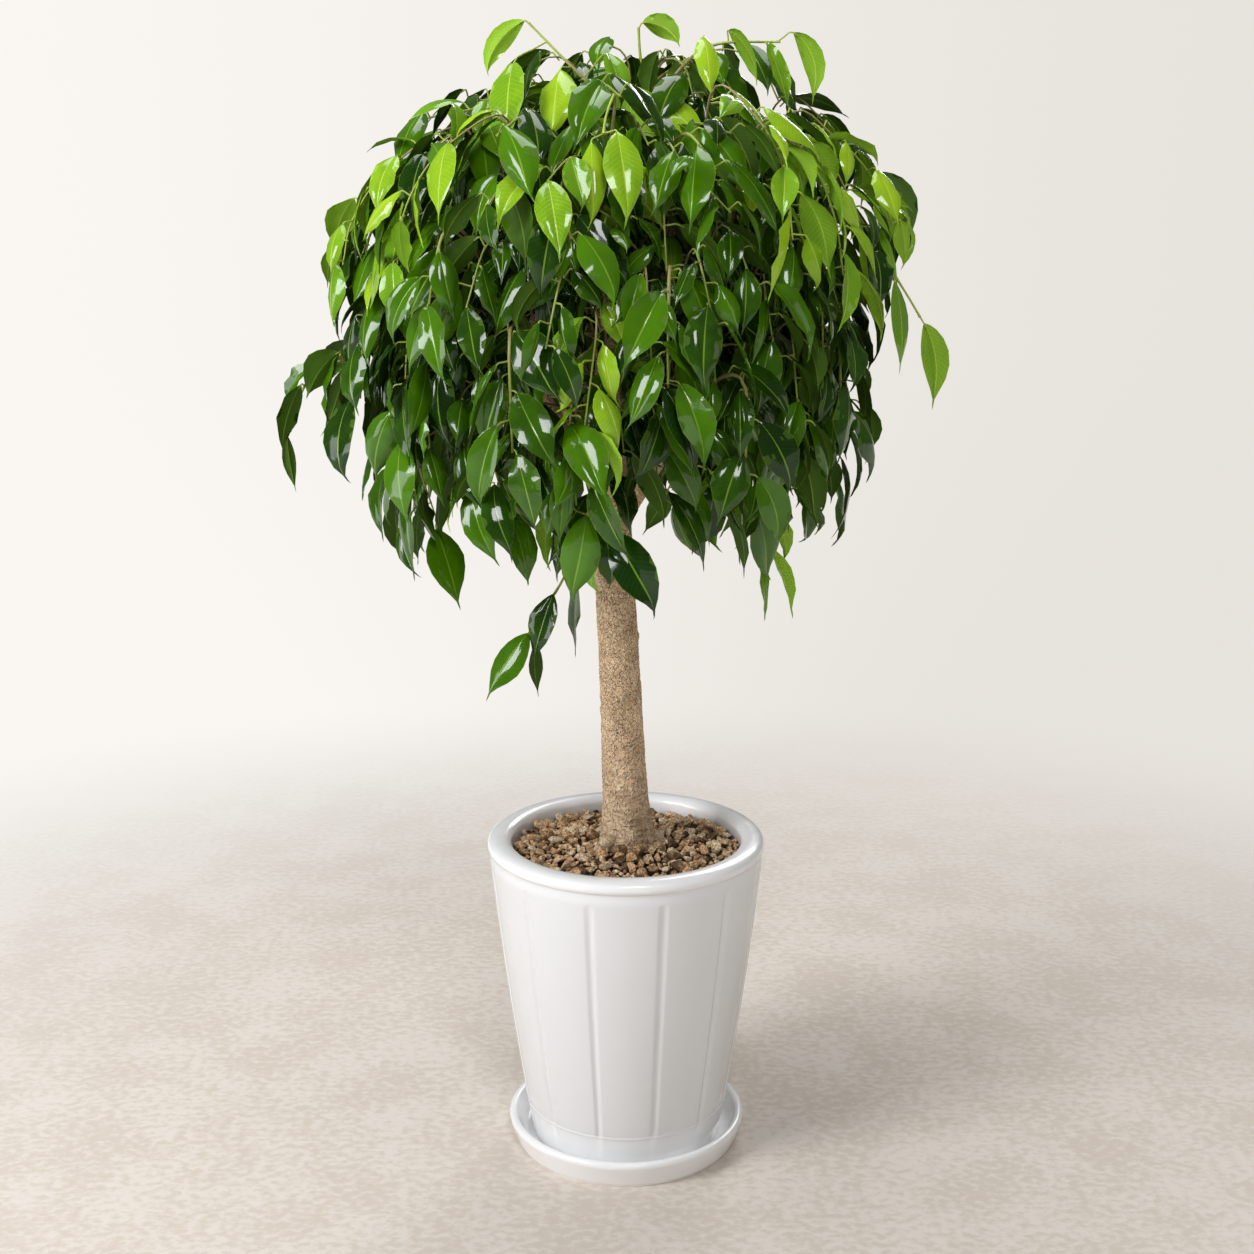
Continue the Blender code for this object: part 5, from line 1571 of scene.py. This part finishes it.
class Graph:
    """The nodes of one material. Whatever is given to a socket may be a value or another node's socket."""

    def __init__(self, name):
        self.material = bpy.data.materials.new(name)
        self.material.use_nodes = True
        self.nodes = self.material.node_tree.nodes
        self.shader = self.nodes["Principled BSDF"]

    def put(self, sockets, values):
        for key, value in values.items():
            socket = sockets[key]
            if isinstance(value, bpy.types.NodeSocket):
                self.material.node_tree.links.new(value, socket)
            elif socket.type == "RGBA" and len(value) == 3:
                socket.default_value = (*value, 1.0)
            else:
                socket.default_value = value

    def node(self, kind, inputs=None, out=0, **settings):
        made = self.nodes.new("ShaderNode" + kind)
        for key, value in settings.items():
            setattr(made, key, value)
        self.put(made.inputs, inputs or {})
        return made.outputs[out]

    def math(self, operation, first, second=0.0, third=0.0):
        return self.node("Math", {0: first, 1: second, 2: third}, operation=operation)

    def ramp(self, value, low, high, to_low=0.0, to_high=1.0):
        """A smooth step from low to high."""
        inputs = {"Value": value, "From Min": low, "From Max": high, "To Min": to_low, "To Max": to_high}
        return self.node("MapRange", inputs, interpolation_type="SMOOTHSTEP")

    def mixed(self, share, first, second):
        return self.node("Mix", {0: share, 6: first, 7: second}, out=2, data_type="RGBA")

    def laid(self, share, strength, colour, tone):
        """A tone laid over a colour by a share, and at most as strongly as strength."""
        return self.mixed(self.math("MULTIPLY", share, strength), colour, tone)

    def place(self):
        """The object's own coordinates."""
        return self.node("TexCoord", out=3)

    def noise(self, scale, detail, stretch=(1.0, 1.0, 1.0)):
        """Noise about the object's own coordinates. scale is in features a metre."""
        place = self.node("VectorMath", {0: self.place(), 1: stretch}, operation="MULTIPLY")
        return self.node("TexNoise", {"Vector": place, "Scale": scale, "Detail": detail})

    def pits(self, scale):
        return self.node("TexVoronoi", {"Vector": self.place(), "Scale": scale})

    def split(self, vector):
        made = self.node("SeparateXYZ", {0: vector}).node
        return tuple(made.outputs)

    def attribute(self, name, out):
        return self.node("Attribute", out=out, attribute_name=name)

    def relief(self, *layers):
        """A normal from layers of height, each given as a height from 0 to 1 and its depth in metres."""
        normal = None
        for height, depth in layers:
            inputs = {"Height": height, "Distance": depth}
            if normal:
                inputs["Normal"] = normal
            normal = self.node("Bump", inputs)
        return normal

    def finish(self, **inputs):
        self.put(self.shader.inputs, {key.replace("_", " "): value for key, value in inputs.items()})
        return self.material


def leaf_finishes(name, dark, light, vein, under, gloss, veins):
    """The finishes of a leaf's upper side, its underside, and its petiole and twig."""
    pale = tuple(UNDER_LIGHT_SHARE * x for x in under)
    return [leaf_side(name + "_upper", dark, light, vein, gloss, veins),
            leaf_side(name + "_under", under, pale, vein, UNDER_ROUGHNESS, UNDER_VEINS * veins),
            stalk_finish(name + "_stalk", light)]


def leaf_side(name, dark, light, vein, roughness, veins):
    """One side of a leaf: mottled green with a pale midrib, fine side veins and a pale margin."""
    graph = Graph(name)
    across, along_blade, _ = graph.split(graph.attribute("place", 1))
    # For leaves, the tint attribute also holds the painted shade of leaves deep in the crown.
    tint = graph.math("MULTIPLY_ADD", graph.attribute("tint", 2), *TINT_SHARE)
    shade = graph.math("MULTIPLY_ADD", graph.noise(*LEAF_MOTTLE), LEAF_MOTTLE_SHARE, tint)
    colour = graph.mixed(graph.ramp(shade, 0.0, 1.0), dark, light)
    reach = graph.math("ABSOLUTE", across)
    phase = graph.math("MULTIPLY_ADD", reach, -VEIN_SLANT, along_blade)
    wave = graph.math("SINE", graph.math("MULTIPLY", phase, VEIN_COUNT * 2 * math.pi))
    side_veins = graph.ramp(wave, *VEIN_CREST)
    midrib = graph.ramp(graph.math("DIVIDE", reach, graph.ramp(along_blade, *MIDRIB_SHARES)), *MIDRIB_EDGE)
    colour = graph.laid(side_veins, veins, colour, vein)
    colour = graph.laid(graph.ramp(reach, *MARGIN), MARGIN_STRENGTH, colour, vein)
    colour = graph.laid(midrib, MIDRIB_STRENGTH, colour, vein)
    normal = graph.relief((side_veins, VEIN_DEPTH * veins), (graph.noise(*LEAF_RIPPLE), LEAF_RIPPLE_DEPTH))
    smoother, rougher = LEAF_SMEAR_REACH
    smear = graph.noise(*LEAF_SMEAR)
    rough = graph.ramp(smear, *NOISE_SPAN, roughness - smoother, roughness + rougher)
    shine = UPPER_SHINE if roughness < UNDER_ROUGHNESS else UNDER_SHINE
    return graph.finish(Base_Color=colour, Roughness=rough, Normal=normal, **shine)


def stalk_finish(name, green):
    """Petioles and twigs: tan bark at a twig's root, green towards its tip."""
    graph = Graph(name)
    _, along_twig, _ = graph.split(graph.attribute("place", 1))
    grain = graph.noise(*STALK_GRAIN)
    bark = graph.mixed(grain, TWIG_DARK, TWIG_TAN)
    shaded = tuple(STALK_SHADE * x for x in STALK_GREEN)
    leafy = tuple((x + y) / 2 for x, y in zip(green, STALK_GREEN))
    share = graph.math("SUBTRACT", along_twig, GRAIN_SHARE / 2)
    share = graph.math("MULTIPLY_ADD", grain, GRAIN_SHARE, share)
    colour = graph.mixed(graph.ramp(share, *STALK_GREENS), bark, graph.mixed(grain, shaded, leafy))
    return graph.finish(Base_Color=colour, Roughness=0.5, Normal=graph.relief((grain, STALK_DEPTH)))


def glaze(name, tone):
    """White glaze with the faintest ripple and a few specks, and painted light on the pot's rim and near its
    foot.
    """
    graph = Graph(name)
    speck = graph.ramp(graph.pits(SPECK_SCALE), *SPECK_EDGE)
    height = graph.split(graph.place())[2]
    # Painted light: the rim and the foot are made whiter, where the crown and the saucer shade them.
    rim = graph.ramp(height, *LIT_RIM_HEIGHTS)
    thick = graph.math("MAXIMUM", rim, graph.ramp(height, *LIT_FOOT_HEIGHTS))
    colour = graph.mixed(graph.noise(*GLAZE_CLOUD), tone, tuple(GLAZE_CLOUD_SHARE * x for x in tone))
    colour = graph.mixed(thick, colour, PAINTED_LIGHT_GLAZE)
    colour = graph.laid(speck, SPECK_STRENGTH, colour, SPECK_TONE)
    rough = graph.ramp(graph.noise(*GLAZE_SMEAR), *NOISE_SPAN, *GLAZE_ROUGHNESS)
    ripple, grain = graph.noise(*GLAZE_RIPPLE), graph.noise(*GLAZE_GRAIN)
    normal = graph.relief((ripple, GLAZE_RIPPLE_DEPTH), (grain, GLAZE_GRAIN_DEPTH))
    return graph.finish(Base_Color=colour, Roughness=rough, Normal=normal, **GLAZE_COAT)


def mix_finish():
    """Crumbling lumps of bark and lava in browns and tans, pitted all over, with painted shade in the gaps
    between.
    """
    graph = Graph("potting_mix")
    tint = graph.attribute("tint", 2)
    fine = graph.noise(*MIX_FINE)
    pits = graph.ramp(graph.pits(MIX_PIT_SCALE), *MIX_PIT_EDGE)
    _, rise, _ = graph.split(graph.attribute("place", 1))
    tint = graph.math("MULTIPLY", tint, MIX_TINT_SHARE)
    shade = graph.math("MULTIPLY_ADD", graph.noise(*MIX_COARSE), MIX_COARSE_SHARE, tint)
    colour = graph.mixed(graph.ramp(shade, *MIX_BROWNS), MIX_DARK, MIX_BROWN)
    colour = graph.mixed(graph.ramp(shade, *MIX_TANS), colour, MIX_TAN)
    # The last of these is painted shade low on each lump.
    for height, darkest in ((fine, MIX_FINE_DARK), (pits, PITS_DARK), (rise, MIX_GAPS_PAINTED_SHADE)):
        colour = graph.mixed(graph.ramp(height, *darkest), colour, MIX_DARK)
    normal = graph.relief((fine, MIX_FINE_DEPTH), (pits, MIX_PIT_DEPTH))
    return graph.finish(Base_Color=colour, Roughness=0.95, Normal=normal, Specular_IOR_Level=0.2)


def bark_finish():
    """Light tan bark with winding raised lines, small dark pits, and wrinkles across it near the foot."""
    graph = Graph("bark")
    fine = graph.noise(*BARK_FINE)
    winding = graph.math("ABSOLUTE", graph.math("SUBTRACT", graph.noise(*BARK_WINDING), 0.5))
    lines = graph.ramp(winding, *LINE_EDGE)
    height = graph.split(graph.place())[2]
    across = graph.math("MULTIPLY", graph.noise(*BARK_ACROSS), graph.ramp(height, *ACROSS_HEIGHTS))
    pits = graph.ramp(graph.pits(BARK_PIT_SCALE), *BARK_PIT_EDGE)
    shade = graph.math("MULTIPLY_ADD", fine, *BARK_FINE_SHARE)
    shade = graph.math("MULTIPLY_ADD", graph.noise(*BARK_CLOUD), BARK_CLOUD_SHARE, shade)
    shade = graph.math("SUBTRACT", shade, graph.ramp(height, *BARK_FOOT_DARK))
    colour = graph.mixed(graph.ramp(shade, *BARK_TANS), BARK_DARK, BARK_TAN)
    colour = graph.laid(lines, LINE_STRENGTH, colour, BARK_PALE)
    colour = graph.mixed(graph.ramp(across, *ACROSS_PALE), colour, BARK_PALE)
    colour = graph.mixed(graph.ramp(pits, *PITS_DARK), colour, BARK_DARK)
    normal = graph.relief(*zip((lines, across, fine, pits), BARK_DEPTHS))
    return graph.finish(Base_Color=colour, Roughness=0.8, Normal=normal, Specular_IOR_Level=0.3)


def floor_finish():
    """Pale stone near the plant, which fades outwards into the backdrop's own tone."""
    graph = Graph("floor")
    grain = graph.noise(*FLOOR_GRAIN)
    mottle = graph.math("MULTIPLY", graph.noise(*FLOOR_MOTTLE), 1 - FLOOR_GRAIN_SHARE)
    share = graph.math("MULTIPLY_ADD", grain, FLOOR_GRAIN_SHARE, mottle)
    colour = graph.mixed(graph.ramp(share, *FLOOR_TONES), FLOOR_DARK, FLOOR_LIGHT)
    graph.finish(Base_Color=colour, Roughness=0.75, Normal=graph.relief((grain, FLOOR_DEPTH)))
    distance = graph.node("VectorMath", {0: graph.place()}, out=1, operation="LENGTH")
    # Far out, the floor glows as the backdrop does, painted shade and all.
    surfaces = {0: graph.ramp(distance, *FLOOR_FADE), 1: graph.shader.outputs[0], 2: backdrop_glow(graph)}
    graph.put(graph.nodes["Material Output"].inputs, {"Surface": graph.node("MixShader", surfaces)})
    return graph.material


def backdrop_glow(graph):
    """The backdrop's own light, with painted shade that darkens it a little from its left to its right."""
    way = graph.node("VectorMath", {0: graph.place()}, operation="NORMALIZE")
    tone = graph.mixed(graph.ramp(graph.split(way)[0], *BACKDROP_TURN), BACKDROP_LIGHT, BACKDROP_PAINTED_SHADE)
    return graph.node("Emission", {"Color": tone, "Strength": 1.0})


def backdrop_finish():
    graph = Graph("backdrop")
    graph.put(graph.nodes["Material Output"].inputs, {"Surface": backdrop_glow(graph)})
    return graph.material


def stage():
    """A wide pale floor inside a pale dome. Only the camera sees the dome."""
    bpy.ops.mesh.primitive_plane_add(size=2 * STAGE_RADIUS)
    floor = bpy.context.object
    floor.name = "floor"
    floor.data.materials.append(floor_finish())
    bpy.ops.mesh.primitive_uv_sphere_add(segments=64, ring_count=32, radius=STAGE_RADIUS)
    dome = bpy.context.object
    dome.name = "backdrop"
    dome.data.materials.append(backdrop_finish())
    dome.visible_diffuse = dome.visible_glossy = dome.visible_transmission = dome.visible_shadow = False
    world = bpy.data.worlds.new("room")
    world.use_nodes = True
    world.node_tree.nodes["Background"].inputs["Color"].default_value = (*WORLD_TONE, 1.0)
    world.node_tree.nodes["Background"].inputs["Strength"].default_value = WORLD_STRENGTH
    bpy.context.scene.world = world


def soft_box(name, place, aim, size, power, tone):
    """An area light at a place, turned towards what it lights."""
    light = bpy.data.lights.new(name, "AREA")
    light.shape = "RECTANGLE"
    light.size, light.size_y = size
    light.energy = power
    light.color = tone
    obj = bpy.data.objects.new(name, light)
    obj.location = place
    obj.rotation_euler = (Vector(aim) - Vector(place)).to_track_quat("-Z", "Y").to_euler()
    bpy.context.scene.collection.objects.link(obj)


def camera():
    data = bpy.data.cameras.new("camera")
    data.lens = CAMERA_LENS
    data.sensor_width = CAMERA_SENSOR
    obj = bpy.data.objects.new("camera", data)
    obj.location = CAMERA_PLACE
    obj.rotation_euler = (math.pi / 2 - CAMERA_PITCH_DOWN, 0.0, 0.0)
    bpy.context.scene.collection.objects.link(obj)
    bpy.context.scene.camera = obj


def place_piece(piece, slot, *nodes):
    """Puts a piece on the plant's one body and hides the nodes that it stands for. slot is not used."""
    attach(piece, "root")
    if nodes:
        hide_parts(*nodes)


def crown(grown, fill):
    """The leafy pieces: one for each shoot that has a solid, and the filling shoots by what carries them."""
    mature = leaf_finishes("leaf", LEAF_DARK, LEAF_LIGHT, LEAF_VEIN, LEAF_UNDER, *LEAF_GLOSS)
    young = leaf_finishes("young_leaf", YOUNG_DARK, YOUNG_LIGHT, YOUNG_VEIN, YOUNG_UNDER, *YOUNG_GLOSS)
    for shoot in grown:
        piece = Piece()
        add_shoot(piece, shoot, TWIG_RADIUS, FINE_TWIG_TIP)
        slot, finishes = ("young_leaf", young) if shoot.young else ("leaf", mature)
        place_piece(piece.made(shoot.name + "_leafy", finishes), slot, shoot.name)
    for carrier in range(LIMBS + 1):
        name = f"filling_shoots_{carrier + 1}"
        fill_piece(name, [s for s in fill if s.carrier == carrier and not s.young], mature, "leaf")
    fill_piece("filling_shoots_young", [s for s in fill if s.young], young, "young_leaf")


def fill_piece(name, shoots, finishes, slot):
    piece = Piece()
    for shoot in shoots:
        add_shoot(piece, shoot, FILL_TWIG_RADIUS, FILL_TWIG_TIP_RADIUS)
    place_piece(piece.made(name, finishes), slot)


def main():
    camera()
    stage()
    for light in LIGHTS:
        soft_box(*light)
    bpy.context.scene.view_settings.view_transform = "Standard"
    bark = bark_solid()
    grown = solid_shoots(bark)
    crown(grown, fill_shoots(bark, grown))
    # The saucer's glaze is the lighter one, painted light.
    place_piece(saucer(glaze("saucer_glaze", PAINTED_LIGHT_GLAZE)), "saucer_glaze", "saucer")
    place_piece(pot(glaze("pot_glaze", GLAZE_TONE)), "pot_glaze", "pot")
    place_piece(potting_mix(mix_finish()), "soil", "soil")
    place_piece(trunk(bark_finish()), "bark", "trunk")


main()
